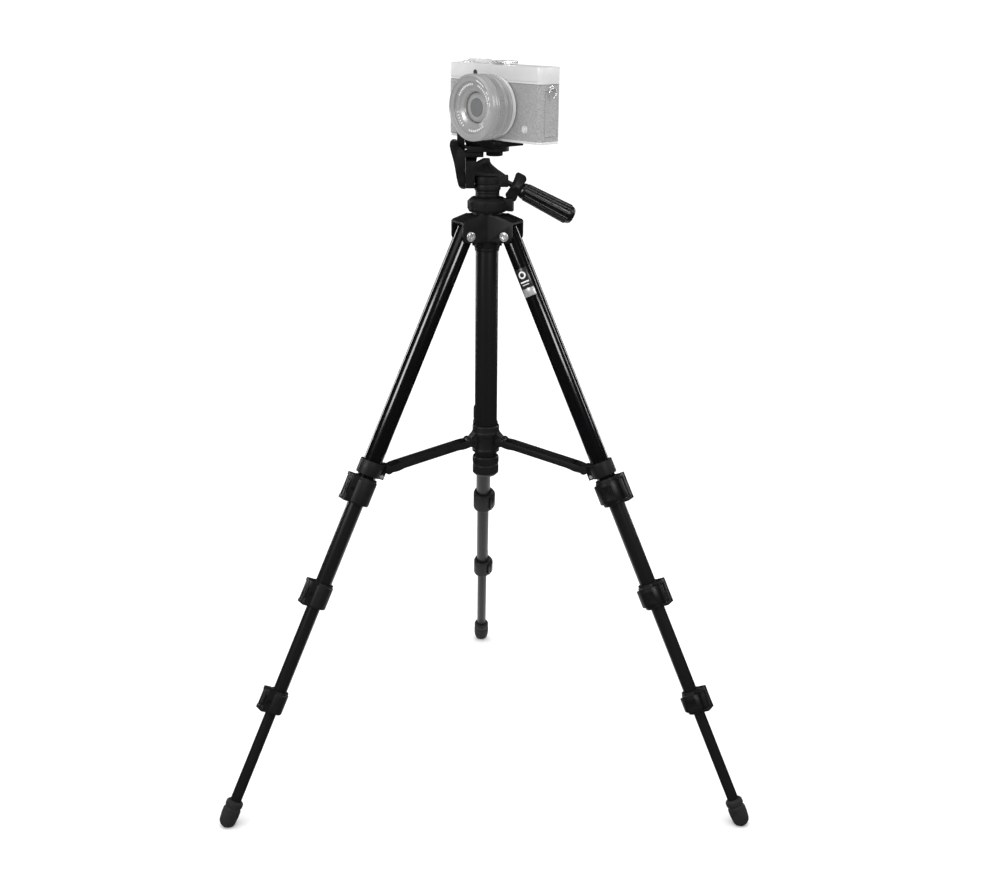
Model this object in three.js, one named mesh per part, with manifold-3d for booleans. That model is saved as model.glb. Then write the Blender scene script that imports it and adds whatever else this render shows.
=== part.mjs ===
// A compact mirrorless camera on a four-section photo tripod with a two-way head.
// Millimetres, +Z up. The feet stand on z = 0 and the camera looks towards -Y, turned to the left.
import * as THREE from "three";
import { mergeVertices } from "three/addons/utils/BufferGeometryUtils.js";
import Module from "manifold-3d";

const wasm = await Module();
wasm.setup();

// ---- driving dimensions -------------------------------------------------

const clearance = 0.35; // between two pieces that touch or turn in each other
const round = 16; // facets of a turned piece
const small = 8; // facets of a pin, screw or knob stem
const fine = 24; // facets of a lens ring

const legs = [
  { name: "left", azimuth: 210 },
  { name: "right", azimuth: 330 },
  { name: "rear", azimuth: 90 },
];
const spread = THREE.MathUtils.degToRad(25.56); // a leg's angle from the vertical

// The leg's four tubes; "end" is the distance from the bolt to the lower end of the tube's lock.
const tubeWall = 0.85;
const firstRadius = 9.35;
const nesting = tubeWall + 0.45; // each tube's radius is this much under the one it slides in
const sections = [
  { radius: firstRadius, start: -8, end: 281.7, lock: { radius: firstRadius + 3.15, length: 27 } },
  {
    radius: firstRadius - nesting,
    start: 118,
    end: 391.7,
    lock: { radius: firstRadius - nesting + 3.15, length: 25 },
  },
  {
    radius: firstRadius - 2 * nesting,
    start: 226,
    end: 504.7,
    lock: { radius: firstRadius - 2 * nesting + 3.25, length: 22.5 },
  },
  { radius: firstRadius - 3 * nesting, start: 332, end: 612 },
];
const lever = { thickness: 2.3, wrap: 2.25, margin: 3.5, pin: 1.2, barrel: 2.6 };
const foot = { radius: firstRadius - 3 * nesting + 3.15, top: 600.6, centre: 621, steps: 4 };

const sleeve = { radius: 11.25, bore: 9.95, bottom: 322.5, top: 574 };
// The leg axis crosses its bolt here, clear of the barrel round the sleeve.
const hinge = { radius: sleeve.radius + firstRadius + 5.4, height: 566.6 };
const column = { radius: 9.5, bore: 8.3, bottom: 345, top: 605.6 };
const cap = { radius: sleeve.radius + 1.95, bottom: 318, top: 339, chamfer: 3 };
const hub = {
  barrel: sleeve.radius + 2.95,
  slot: sleeve.radius + 2.15, // the leg slots start this far from the column axis
  bottom: 560,
  roof: hinge.height + 9.866 + firstRadius * Math.sin(spread), // above the leg's plug
  rise: 5,
  plate: 2.6,
  reach: hinge.radius + 7.6,
  cheek: 2.1,
  neck: sleeve.radius + 1.45,
  neckBottom: 552.5,
  spigot: 14,
  spigotTop: 596,
};
const bolt = { radius: 2.5, head: 4.6, headHeight: 2.4 };
const lockRing = { radius: 19.5, bottom: 587.8, top: 601.6, lug: 6.2, lugTop: 597 };

const collar = { radius: sleeve.radius + 2.55, bottom: 344, top: 371.5, shoulder: 361.5 };
const brace = {
  collarRadius: collar.radius + 5.2, // the arm's inner pivot, from the column axis
  collarHeight: 356,
  along: 240, // the arm's outer pivot, down the leg from the bolt
  inset: firstRadius + 8.25, // and inwards from the leg axis
  width: 14,
  wall: 1.7,
  top: 3.5,
  bottom: 4,
  tip: 4.4,
  fork: 14.5,
  lug: 8,
  pin: 1.5,
};
const clampRing = {
  radius: firstRadius + 2.65,
  length: 14.4,
  top: brace.along - 2.6,
  screwBlock: 9,
  block: 4.5, // how far the screw block stands out of the ring
};

const headBase = { radius: 11.8, bottom: 602, top: 608.1, spigot: 5, spigotTop: 614 };
const pan = { radius: 12.9, top: 622.4, wallBottom: 611, wallTop: 634, apex: 638.6 };
const tilt = {
  height: 618,
  inner: -21.4,
  outer: -32,
  halfWidth: 11,
  footRadius: 9,
  bore: 4,
  shelf: 5, // thickness of the shelf that the platform lies on
  shelfEnd: -4,
};
const flip = { x: -32.4, height: 651.6, radius: 4.2, halfWidth: 11, middle: 5.4, pin: 1.7 };
const platform = { left: -20.4, right: 20.5, halfWidth: 15, bottom: 646, top: 651, lip: 662 };
const plate = { x: 6.5, side: 44, bottom: 651.35, top: 657.1, rubber: 1.6 };
const screw = { knob: 8.2, knobBottom: 641.2, knobTop: 645.6, shank: 3.1, depth: 5.5 };
const handle = {
  x: 15,
  height: 617.8,
  angle: THREE.MathUtils.degToRad(27),
  rod: 2.6,
  rodEnd: 62,
  knobStart: 10.5,
  knobEnd: 18.5,
  lobe: 8.8,
  lobeRadius: 3.4,
  boss: 5.4,
  gripStart: 19.5,
  gripEnd: 76,
  gripThin: 7.8,
  gripThick: 9.1,
};

const camera = {
  x: 14.5,
  y: -6,
  turn: THREE.MathUtils.degToRad(-48),
  width: 127,
  depth: 27,
  bottom: 657.5,
  seam: 711.5,
  top: 727,
  corner: 5,
  overhang: 0.4, // of the top plate over the shell
};
const lens = {
  offset: 5,
  height: 689.3,
  core: 24,
  mount: { radius: 28, length: 6 },
  aperture: { radius: 29.6, length: 8 },
  focus: { radius: 30.4, length: 10.5 },
  front: { radius: 30.7, length: 8.5 },
  mouth: 23.5,
  mouthDepth: 5,
  glass: 14,
};
const button = { x: -46, y: -5, radius: 4.2, proud: 1.8, well: 2.6 };
const shutterDial = { x: -30, y: 2, radius: 8.2, height: 3.4 };
const exposureDial = { x: -50, y: 6.5, radius: 6.2, height: 2.8 };
const shoe = { x: 0, y: 1, width: 19, depth: 18, height: 3, slot: 1.3 };
const screen = { x: 4, width: 66, height: 46, thickness: 2.4, base: 663 };

// ---- materials ----------------------------------------------------------

const looks = {
  gloss: { color: 0x0c0c0d, roughness: 0.18, metalness: 0.75 },
  satin: { color: 0x161617, roughness: 0.38, metalness: 0.6 },
  plastic: { color: 0x1b1b1c, roughness: 0.6, metalness: 0 },
  rubber: { color: 0x111111, roughness: 0.85, metalness: 0 },
  steel: { color: 0xc9cacc, roughness: 0.25, metalness: 1 },
  silver: { color: 0xd4d5d6, roughness: 0.35, metalness: 0.85 },
  leather: { color: 0x8f9090, roughness: 0.8, metalness: 0 },
  lensMetal: { color: 0x9b9c9d, roughness: 0.4, metalness: 0.4 },
  glass: { color: 0x70767a, roughness: 0.05, metalness: 0 },
  screen: { color: 0x2a2c2e, roughness: 0.1, metalness: 0 },
};

// ---- solids -------------------------------------------------------------

function solid(geometry) {
  const bare = geometry.clone();
  bare.deleteAttribute("normal");
  bare.deleteAttribute("uv");
  const merged = mergeVertices(bare, 1e-4);
  const index = merged.index.array;
  const triangles = [];
  for (let i = 0; i < index.length; i += 3) {
    const [a, b, c] = [index[i], index[i + 1], index[i + 2]];
    if (a !== b && b !== c && c !== a) triangles.push(a, b, c);
  }
  return new wasm.Manifold(
    new wasm.Mesh({
      numProp: 3,
      vertProperties: merged.attributes.position.array,
      triVerts: new Uint32Array(triangles),
    }),
  );
}

function geometryOf(body) {
  const mesh = body.getMesh();
  const geometry = new THREE.BufferGeometry();
  geometry.setAttribute("position", new THREE.BufferAttribute(mesh.vertProperties, 3));
  geometry.setIndex(new THREE.BufferAttribute(mesh.triVerts, 1));
  geometry.computeVertexNormals();
  return geometry;
}

function join(...bodies) {
  return bodies.reduce((all, next) => all.add(next));
}

function cut(body, ...tools) {
  return tools.reduce((rest, tool) => rest.subtract(tool), body);
}

function box(x, y, z) {
  const geometry = new THREE.BoxGeometry(x[1] - x[0], y[1] - y[0], z[1] - z[0]);
  geometry.translate((x[0] + x[1]) / 2, (y[0] + y[1]) / 2, (z[0] + z[1]) / 2);
  return solid(geometry);
}

// A solid of revolution about Z from its outline in (radius, z), in either direction.
function revolve(outline, facets = round) {
  let area = 0;
  outline.forEach(([r, z], i) => {
    const [nextR, nextZ] = outline[(i + 1) % outline.length];
    area += r * nextZ - nextR * z;
  });
  const points = area > 0 ? [...outline] : [...outline].reverse();
  points.push(points[0]);
  const profile = points.map(([r, z]) => new THREE.Vector2(r, z));
  const geometry = new THREE.LatheGeometry(profile, facets);
  geometry.rotateX(Math.PI / 2);
  return solid(geometry);
}

function disc(radius, low, high, facets = round) {
  return revolve([[0, low], [radius, low], [radius, high], [0, high]], facets);
}

function tube(radius, bore, low, high, facets = round) {
  return revolve([[bore, low], [radius, low], [radius, high], [bore, high]], facets);
}

// A prism along +Z from its outline in (x, y).
function prism(outline, low, high) {
  const shape = new THREE.Shape(outline.map(([x, y]) => new THREE.Vector2(x, y)));
  const geometry = new THREE.ExtrudeGeometry(shape, { depth: high - low, bevelEnabled: false });
  geometry.translate(0, 0, low);
  return solid(geometry);
}

// A prism along Y from its outline in (x, z).
function sidePrism(outline, low, high) {
  const shape = new THREE.Shape(outline.map(([x, z]) => new THREE.Vector2(x, z)));
  const geometry = new THREE.ExtrudeGeometry(shape, { depth: high - low, bevelEnabled: false });
  geometry.rotateX(Math.PI / 2);
  geometry.translate(0, high, 0);
  return solid(geometry);
}

function alongY(radius, x, z, low, high, facets = small) {
  const geometry = new THREE.CylinderGeometry(radius, radius, high - low, facets);
  geometry.translate(x, (low + high) / 2, z);
  return solid(geometry);
}

function alongX(radius, y, z, low, high, facets = small) {
  const geometry = new THREE.CylinderGeometry(radius, radius, high - low, facets);
  geometry.rotateZ(Math.PI / 2);
  geometry.translate((low + high) / 2, y, z);
  return solid(geometry);
}

function pin(radius, x, y, low, high, facets = small) {
  const geometry = new THREE.CylinderGeometry(radius, radius, high - low, facets);
  geometry.rotateX(Math.PI / 2);
  geometry.translate(x, y, (low + high) / 2);
  return solid(geometry);
}

// A rectangle with rounded corners, as points.
function roundedRectangle(halfX, halfY, radius, steps = 4) {
  const points = [];
  const centres = [
    [halfX - radius, halfY - radius, 0],
    [radius - halfX, halfY - radius, 90],
    [radius - halfX, radius - halfY, 180],
    [halfX - radius, radius - halfY, 270],
  ];
  for (const [x, y, start] of centres) {
    for (let i = 0; i <= steps; i++) {
      const angle = THREE.MathUtils.degToRad(start + (90 * i) / steps);
      points.push([x + radius * Math.cos(angle), y + radius * Math.sin(angle)]);
    }
  }
  return points;
}

// An arc of a ring in (x, y), as points.
function arcBand(inner, outer, from, to, steps = 8) {
  const angles = Array.from({ length: steps + 1 }, (_, i) => from + ((to - from) * i) / steps);
  const outside = angles.map((a) => [outer * Math.cos(a), outer * Math.sin(a)]);
  const inside = angles.map((a) => [inner * Math.cos(a), inner * Math.sin(a)]).reverse();
  return [...outside, ...inside];
}

function piece(name, look, body) {
  const mesh = new THREE.Mesh(geometryOf(body), new THREE.MeshStandardMaterial(looks[look]));
  mesh.name = name;
  return mesh;
}

// ---- legs: in a leg's own frame the bolt is the origin, the leg runs down -Z and +X is outwards

function lockHousing(section) {
  const { radius, length } = section.lock;
  const low = -section.end;
  const high = low + length;
  const bore = section.radius - tubeWall;
  const block = box([radius - 3, radius + 5.4], [-1.2, 6.6], [low, high]);
  const ears = [
    [low, low + lever.margin - clearance],
    [high - lever.margin + clearance, high],
  ].map((z) => box([radius - 3, radius + 5.4], [-7.2, 0], z));
  const pinHole = pin(lever.pin + clearance, radius + lever.barrel, -4.2, low - 1, high + 1, 8);
  const shell = join(tube(radius, bore, low, high), block, ...ears);
  return cut(shell, disc(bore, low - 1, high + 1), pinHole);
}

function sectionTube(section, bottom) {
  return tube(section.radius, section.radius - tubeWall, -bottom, -section.start);
}

function upperTube(section) {
  const plug = disc(section.radius - tubeWall / 2, -26, -section.start);
  const hole = alongY(bolt.radius + clearance, 0, 0, -20, 20);
  return cut(join(sectionTube(section, section.end), plug, lockHousing(section)), hole);
}

function lockLever(section) {
  const { radius, length } = section.lock;
  const low = -section.end + lever.margin;
  const high = -section.end + length - lever.margin;
  const inner = radius + 0.5;
  const hingeX = radius + lever.barrel;
  const plateBody = prism(
    arcBand(inner, inner + lever.thickness, -0.2, -0.2 - lever.wrap),
    low,
    high,
  );
  const barrel = pin(lever.barrel, hingeX, -4.2, low, high);
  const spindle = pin(lever.pin, hingeX, -4.2, low - lever.margin + 0.5, high + lever.margin - 0.5, 8);
  return join(plateBody, barrel, spindle);
}

function rubberFoot() {
  const outline = [[0, -foot.top], [foot.radius - 0.6, -foot.top], [foot.radius, -foot.top - 2]];
  const roundRadius = foot.radius - 0.3;
  for (let i = 0; i <= foot.steps; i++) {
    const angle = (i * Math.PI) / (2 * foot.steps);
    outline.push([roundRadius * Math.cos(angle), -foot.centre - roundRadius * Math.sin(angle)]);
  }
  outline[outline.length - 1][0] = 0;
  const groundDepth = 60;
  const below = new THREE.BoxGeometry(1000, 100, groundDepth);
  below.translate(0, 0, -hinge.height - groundDepth / 2);
  below.rotateY(spread);
  const last = sections[sections.length - 1];
  const socket = disc(last.radius + clearance, -last.end - clearance, -foot.top + 1);
  return cut(revolve(outline), solid(below), socket);
}

function braceClamp() {
  const high = -clampRing.top;
  const low = high - clampRing.length;
  const ring = tube(clampRing.radius, sections[0].radius + clearance, low, high);
  const half = clampRing.screwBlock / 2;
  const blockInner = 1.5 - clampRing.radius;
  const block = box(
    [-clampRing.radius - clampRing.block, blockInner],
    [-half, half],
    [low, high],
  );
  const pivotX = -brace.inset;
  const pivotZ = -brace.along;
  const ear = join(
    alongY(brace.tip, pivotX, pivotZ, -brace.lug / 2, brace.lug / 2),
    sidePrism(
      [
        [pivotX - 1.5, pivotZ - brace.tip + 0.6],
        [blockInner, pivotZ - brace.tip],
        [blockInner, pivotZ + brace.tip - 2],
        [pivotX + 1, pivotZ + brace.tip],
      ],
      -brace.lug / 2,
      brace.lug / 2,
    ),
  );
  const bore = disc(sections[0].radius + clearance, low - 20, high + 20);
  const pinHole = alongY(brace.pin + clearance, pivotX, pivotZ, -10, 10);
  return cut(join(ring, block, ear), bore, pinHole);
}

function pivotBolt() {
  const side = sections[0].radius + 0.65 + hub.cheek;
  const shank = alongY(bolt.radius, 0, 0, -side - bolt.headHeight, side);
  const headNear = alongY(bolt.head, 0, 0, side + clearance, side + clearance + bolt.headHeight);
  const headFar = alongY(
    bolt.head,
    0,
    0,
    -side - clearance - bolt.headHeight,
    -side - clearance,
    6,
  );
  const stem = alongY(bolt.radius, 0, 0, side - 1, side + clearance + 1);
  return join(shank, headNear, headFar, stem);
}

function makeLeg({ name, azimuth }) {
  const leg = new THREE.Group();
  leg.position.set(hinge.radius, 0, hinge.height);
  leg.rotation.y = -spread;
  sections.forEach((section, i) => {
    const number = i + 1;
    if (i === 0) leg.add(piece(`tube_1_${name}`, "gloss", upperTube(section)));
    else if (section.lock) {
      const body = join(sectionTube(section, section.end), lockHousing(section));
      leg.add(piece(`tube_${number}_${name}`, "satin", body));
    } else leg.add(piece(`tube_${number}_${name}`, "satin", sectionTube(section, section.end)));
    if (section.lock) leg.add(piece(`lever_${number}_${name}`, "plastic", lockLever(section)));
  });
  leg.add(piece(`foot_${name}`, "rubber", rubberFoot()));
  leg.add(piece(`brace_clamp_${name}`, "plastic", braceClamp()));
  const turned = new THREE.Group();
  turned.rotation.z = THREE.MathUtils.degToRad(azimuth);
  turned.add(leg);
  const boltMesh = piece(`pivot_bolt_${name}`, "steel", pivotBolt());
  boltMesh.position.copy(leg.position);
  turned.add(boltMesh);
  turned.add(braceArm(name));
  return turned;
}

// ---- mid-level brace ----------------------------------------------------

function outerPivot() {
  const sin = Math.sin(spread);
  const cos = Math.cos(spread);
  return {
    x: hinge.radius + brace.along * sin - brace.inset * cos,
    z: hinge.height - brace.along * cos - brace.inset * sin,
  };
}

// An inverted channel, forked at both ends; the inner fork carries its pin.
function braceArm(name) {
  const outer = outerPivot();
  const dx = outer.x - brace.collarRadius;
  const dz = outer.z - brace.collarHeight;
  const length = Math.hypot(dx, dz);
  const half = brace.width / 2;
  const inside = half - brace.wall;
  const sides = [
    [0, brace.top * 0.7],
    [brace.fork * 0.6, brace.top],
    [length - brace.fork * 0.6, brace.top],
    [length, brace.top * 0.7],
    [length, -brace.bottom * 0.8],
    [length - brace.fork * 0.7, -brace.bottom],
    [brace.fork * 0.7, -brace.bottom],
    [0, -brace.bottom * 0.8],
  ];
  const block = join(
    sidePrism(sides, -half, half),
    alongY(brace.tip, 0, 0, -half, half),
    alongY(brace.tip, length, 0, -half, half),
  );
  const channel = box([-20, length + 20], [-inside, inside], [-20, brace.top - brace.wall]);
  const innerGap = box([-20, brace.fork - 2], [-inside, inside], [-20, 20]);
  const outerGap = box([length - brace.fork, length + 20], [-inside, inside], [-20, 20]);
  const pinBody = alongY(brace.pin, 0, 0, -half, half);
  const body = join(cut(block, channel, innerGap, outerGap), pinBody);
  const arm = piece(`brace_arm_${name}`, "plastic", body);
  arm.position.set(brace.collarRadius, 0, brace.collarHeight);
  arm.rotation.y = Math.atan2(-dz, dx);
  return arm;
}

function braceCollar() {
  const bore = sleeve.radius + clearance;
  let body = revolve([
    [bore, collar.bottom],
    [collar.radius, collar.bottom],
    [collar.radius, collar.top - 1],
    [collar.radius - 0.8, collar.top],
    [bore, collar.top],
  ]);
  const half = brace.lug / 2;
  for (const { azimuth } of legs) {
    const reach = brace.collarRadius;
    const outline = [
      [bore + 1, collar.bottom + 4],
      [reach, brace.collarHeight - brace.tip],
      [reach, brace.collarHeight + brace.tip],
      [collar.radius + 1, collar.shoulder + 3],
      [bore + 1, collar.shoulder + 5],
    ];
    const eye = alongY(brace.tip, reach, brace.collarHeight, -half, half);
    const hole = alongY(brace.pin + clearance, reach, brace.collarHeight, -half - 1, half + 1);
    const lug = cut(join(sidePrism(outline, -half, half), eye), hole);
    body = join(body, lug.rotate([0, 0, azimuth]));
  }
  return cut(body, disc(bore, collar.bottom - 1, collar.top + 1));
}

// ---- hub and centre column ---------------------------------------------

function hubBody() {
  let body = join(
    disc(hub.barrel, hub.bottom, hub.roof + hub.rise),
    disc(hub.neck, hub.neckBottom, hub.bottom + 1),
    disc(hub.spigot, hub.roof, hub.spigotTop),
  );
  const inner = sections[0].radius + 0.65;
  const outer = inner + hub.cheek;
  for (const { azimuth } of legs) {
    const roof = sidePrism(
      [
        [6, hub.roof],
        [hub.reach, hub.roof - hub.plate],
        [hub.reach, hub.roof],
        [hub.reach * 0.5, hub.roof + hub.rise],
        [6, hub.roof + hub.rise],
      ],
      -outer,
      outer,
    );
    const cheekSide = [
      [6, hub.bottom],
      [hub.reach - 4, hub.bottom],
      [hub.reach, hub.bottom + 4],
      [hub.reach, hub.roof],
      [6, hub.roof + 1],
    ];
    const cheeks = [
      [-outer, -inner],
      [inner, outer],
    ].map(([low, high]) => sidePrism(cheekSide, low, high));
    const boltHole = alongY(bolt.radius + clearance, hinge.radius, hinge.height, -20, 20);
    const arm = cut(join(roof, ...cheeks), boltHole);
    body = join(body, arm.rotate([0, 0, azimuth]));
  }
  const slots = legs.map(({ azimuth }) =>
    box([hub.slot, 60], [-inner, inner], [hub.neckBottom - 2, hub.roof - hub.plate]).rotate([
      0,
      0,
      azimuth,
    ]),
  );
  return cut(
    body,
    ...slots,
    disc(sleeve.radius + clearance, hub.neckBottom - 1, sleeve.top + clearance),
    disc(column.radius + clearance, sleeve.top, hub.spigotTop + 1),
  );
}

function sleeveCap() {
  const outline = [
    [0, cap.bottom],
    [cap.radius - cap.chamfer, cap.bottom],
    [cap.radius, cap.bottom + cap.chamfer],
    [cap.radius, cap.top],
    [0, cap.top],
  ];
  const socket = disc(sleeve.radius + clearance, sleeve.bottom - clearance, cap.top + 1);
  return cut(revolve(outline), socket);
}

function columnLockRing() {
  const outline = [
    [0, lockRing.bottom],
    [lockRing.radius - 1.2, lockRing.bottom],
    [lockRing.radius, lockRing.bottom + 1.5],
    [lockRing.radius, lockRing.top - 2],
    [lockRing.radius - 3.5, lockRing.top],
    [0, lockRing.top],
  ];
  const lug = box(
    [10, lockRing.radius + lockRing.lug],
    [-4.5, 4.5],
    [lockRing.bottom + 3, lockRing.lugTop],
  ).rotate([0, 0, -12]);
  return cut(
    join(revolve(outline), lug),
    disc(column.radius + clearance * 2, lockRing.bottom - 1, lockRing.top + 1),
    disc(hub.spigot + clearance, lockRing.bottom - 1, hub.spigotTop + clearance),
  );
}

// ---- head ---------------------------------------------------------------

function headBaseBody() {
  const body = join(
    disc(headBase.radius, headBase.bottom, headBase.top),
    disc(headBase.spigot, headBase.bottom, headBase.spigotTop),
  );
  return cut(body, disc(column.radius + clearance, headBase.bottom - 1, column.top + clearance));
}

function panBody() {
  const low = headBase.top + clearance;
  const wallInner = tilt.inner + clearance * 2;
  const web = sidePrism(
    [
      [wallInner + 2, pan.wallBottom + 4],
      [wallInner + 2, pan.wallTop - 4],
      [-7, pan.apex - 1.5],
      [-4, pan.apex],
      [2, pan.apex],
      [3, pan.apex - 5],
      [9, pan.top + 6],
      [18, pan.top],
      [18, pan.wallBottom + 4],
    ],
    -4.5,
    4.5,
  );
  const wall = box([wallInner, -12.6], [-11, 11], [pan.wallBottom, pan.wallTop]);
  const lug = box([8, 20], [-7, 7], [pan.wallBottom + 1, pan.top]);
  const body = join(disc(pan.radius, low, pan.top), web, wall, lug);
  return cut(
    body,
    disc(headBase.spigot + clearance, low - 1, headBase.spigotTop + clearance),
    alongX(tilt.bore + clearance, 0, tilt.height, wallInner - 1, -13.5),
    handleTool(handle.rod + clearance, 0, 20),
  );
}

// A cylinder on the handle's own axis, between two distances from its root.
function handleTool(radius, from, to, facets = small) {
  const geometry = new THREE.CylinderGeometry(radius, radius, to - from, facets);
  geometry.rotateZ(Math.PI / 2);
  geometry.translate((from + to) / 2, 0, 0);
  geometry.rotateY(handle.angle);
  geometry.translate(handle.x, 0, handle.height);
  return solid(geometry);
}

function tiltBracket() {
  const side = sidePrism(
    [
      [tilt.inner, tilt.height - tilt.footRadius],
      [tilt.inner, flip.height - 6],
      [flip.x + flip.radius, flip.height],
      [flip.x, flip.height + flip.radius - 0.2],
      [flip.x - flip.radius + 0.2, flip.height - 2],
      [tilt.outer, tilt.height + 16],
      [tilt.inner - 8.5, tilt.height + 2],
      [tilt.inner - 6.4, tilt.height - tilt.footRadius + 3],
      [tilt.inner - 3, tilt.height - tilt.footRadius],
    ],
    -tilt.halfWidth,
    tilt.halfWidth,
  );
  const shelfTop = platform.bottom - clearance;
  const shelf = box(
    [tilt.inner - 2, tilt.shelfEnd],
    [-tilt.halfWidth, tilt.halfWidth],
    [shelfTop - tilt.shelf, shelfTop],
  );
  const face = join(
    alongX(tilt.footRadius, 0, tilt.height, -60, 0, round),
    box([-60, 0], [-tilt.footRadius, tilt.footRadius], [tilt.height, tilt.height + 10]),
    box([-60, 0], [-tilt.halfWidth, tilt.halfWidth], [tilt.height + 9, flip.height + 20]),
  );
  const arm = join(side.intersect(face), shelf);
  const knuckle = alongY(flip.radius, flip.x, flip.height, -flip.halfWidth, flip.halfWidth);
  const gap = clearance + flip.middle;
  const throat = box(
    [flip.x - 8, tilt.inner + 1],
    [-gap, gap],
    [flip.height - flip.radius - 1.6, flip.height + 10],
  );
  const hingePin = alongY(flip.pin, flip.x, flip.height, -flip.halfWidth, flip.halfWidth);
  const axle = alongX(tilt.bore, 0, tilt.height, tilt.inner - 1, -14.5);
  return join(cut(join(arm, knuckle), throat), hingePin, axle);
}

function platformBody() {
  const outline = [[platform.left, -platform.halfWidth]];
  for (let i = 0; i <= 6; i++) {
    const angle = -Math.PI / 2 + (i * Math.PI) / 6;
    const centre = platform.right - platform.halfWidth;
    outline.push([
      centre + platform.halfWidth * Math.cos(angle),
      platform.halfWidth * Math.sin(angle),
    ]);
  }
  outline.push([platform.left, platform.halfWidth]);
  const deck = prism(outline, platform.bottom, platform.top);
  const knuckle = alongY(flip.radius, flip.x, flip.height, -flip.middle, flip.middle);
  const tongue = box(
    [flip.x, platform.left + 1],
    [-flip.middle, flip.middle],
    [platform.bottom + 2, platform.top],
  );
  const lip = box(
    [flip.x + 5.5, flip.x + 8.2],
    [-flip.middle, flip.middle],
    [platform.bottom + 2, platform.lip],
  );
  return cut(
    join(deck, knuckle, tongue, lip),
    alongY(flip.pin + clearance, flip.x, flip.height, -20, 20),
    pin(screw.shank + clearance, plate.x, 0, platform.bottom - 1, platform.top + 1),
  );
}

function releasePlate() {
  const outline = roundedRectangle(plate.side / 2, plate.side / 2, 4, 2);
  const low = prism(
    outline.map(([x, y]) => [x * 0.93, y * 0.93]),
    plate.bottom,
    plate.top - plate.rubber,
  );
  const high = prism(outline, plate.top - plate.rubber - 2, plate.top);
  const turned = join(low, high).rotate([0, 0, THREE.MathUtils.radToDeg(camera.turn)]);
  const placed = turned.translate([plate.x, 0, 0]);
  const hole = pin(screw.shank + clearance, plate.x, 0, plate.bottom - 1, plate.top + 1);
  const lipRoom = box(
    [flip.x, flip.x + 8.2 + clearance],
    [-flip.middle - clearance, flip.middle + clearance],
    [plate.bottom - 1, plate.top + 1],
  );
  return cut(placed, hole, lipRoom);
}

function cameraScrew() {
  const knob = disc(screw.knob, screw.knobBottom, screw.knobTop);
  const shank = disc(screw.shank, screw.knobTop - 1, camera.bottom + screw.depth, small);
  return join(knob, shank).translate([plate.x, 0, 0]);
}

// The handle's pieces are made along +X and laid on its axis.
function onHandle(body) {
  const turned = body.rotate([0, THREE.MathUtils.radToDeg(handle.angle), 0]);
  return turned.translate([handle.x, 0, handle.height]);
}

function turnToX(body) {
  return body.rotate([0, 90, 0]);
}

function wingKnob() {
  const { knobStart, knobEnd, lobe, lobeRadius, boss, rod } = handle;
  const outline = roundedRectangle(lobe + lobeRadius, lobeRadius, lobeRadius - 0.4, 3);
  const wing = prism(outline, knobStart + 0.6, knobEnd - 0.6);
  const middle = disc(boss, knobStart, knobEnd, small);
  return onHandle(turnToX(cut(join(wing, middle), disc(rod + clearance, 0, 40, small))));
}

function handleRod() {
  return onHandle(turnToX(disc(handle.rod, 1.5, handle.rodEnd, small)));
}

function handleGrip() {
  const { gripStart, gripEnd, gripThin, gripThick, rod } = handle;
  const bore = rod + clearance;
  const body = revolve([
    [bore, gripStart],
    [5.2, gripStart],
    [gripThin, gripStart + 4.5],
    [gripThick, gripEnd - 5],
    [gripThick - 1.2, gripEnd - 1.8],
    [gripThick - 4, gripEnd],
    [0, gripEnd],
    [0, handle.rodEnd + clearance],
    [bore, handle.rodEnd + clearance],
  ]);
  return onHandle(turnToX(body));
}

// ---- camera: made with its width along X and its lens towards -Y, then turned -----------------

// A turned lens piece, its outline in (radius, distance in front of the body).
function lensTurned(outline) {
  const body = revolve(outline, fine).rotate([90, 0, 0]);
  return body.translate([lens.offset, -camera.depth / 2, lens.height]);
}

function lensStations() {
  const mount = { from: camera.overhang + clearance, to: lens.mount.length };
  const aperture = { from: mount.to + clearance, to: mount.to + clearance + lens.aperture.length };
  const focus = { from: aperture.to + clearance, to: aperture.to + clearance + lens.focus.length };
  const front = { from: focus.to + clearance, to: focus.to + clearance + lens.front.length };
  return { mount, aperture, focus, front };
}

function cameraOutline(grow) {
  const halfX = camera.width / 2 + grow;
  const halfY = camera.depth / 2 + grow;
  return roundedRectangle(halfX, halfY, camera.corner, 3);
}

function cameraShell() {
  const body = prism(cameraOutline(0), camera.bottom, camera.seam);
  const cos = Math.cos(camera.turn);
  const sin = Math.sin(camera.turn);
  const away = { x: plate.x - camera.x, y: -camera.y };
  const socket = pin(
    screw.shank + clearance,
    away.x * cos + away.y * sin,
    -away.x * sin + away.y * cos,
    camera.bottom - 1,
    camera.bottom + screw.depth + 1,
  );
  const recess = box(
    [screen.x - screen.width / 2 - clearance, screen.x + screen.width / 2 + clearance],
    [camera.depth / 2 - 1.2, camera.depth],
    [screen.base - clearance, screen.base + screen.height + clearance],
  );
  return cut(body, socket, recess);
}

function topPlate() {
  const body = prism(cameraOutline(camera.overhang), camera.seam + clearance, camera.top);
  const well = pin(
    button.radius + clearance,
    button.x,
    button.y,
    camera.top - button.well,
    camera.top + 1,
  );
  return cut(body, well);
}

function knurledDial({ x, y, radius, height }) {
  const teeth = 18;
  const outline = [];
  for (let i = 0; i < teeth * 2; i++) {
    const angle = (i * Math.PI) / teeth;
    const reach = i % 2 ? radius : radius - 0.5;
    outline.push([reach * Math.cos(angle), reach * Math.sin(angle)]);
  }
  const low = camera.top + clearance;
  return prism(outline, low, low + height).translate([x, y, 0]);
}

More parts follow.
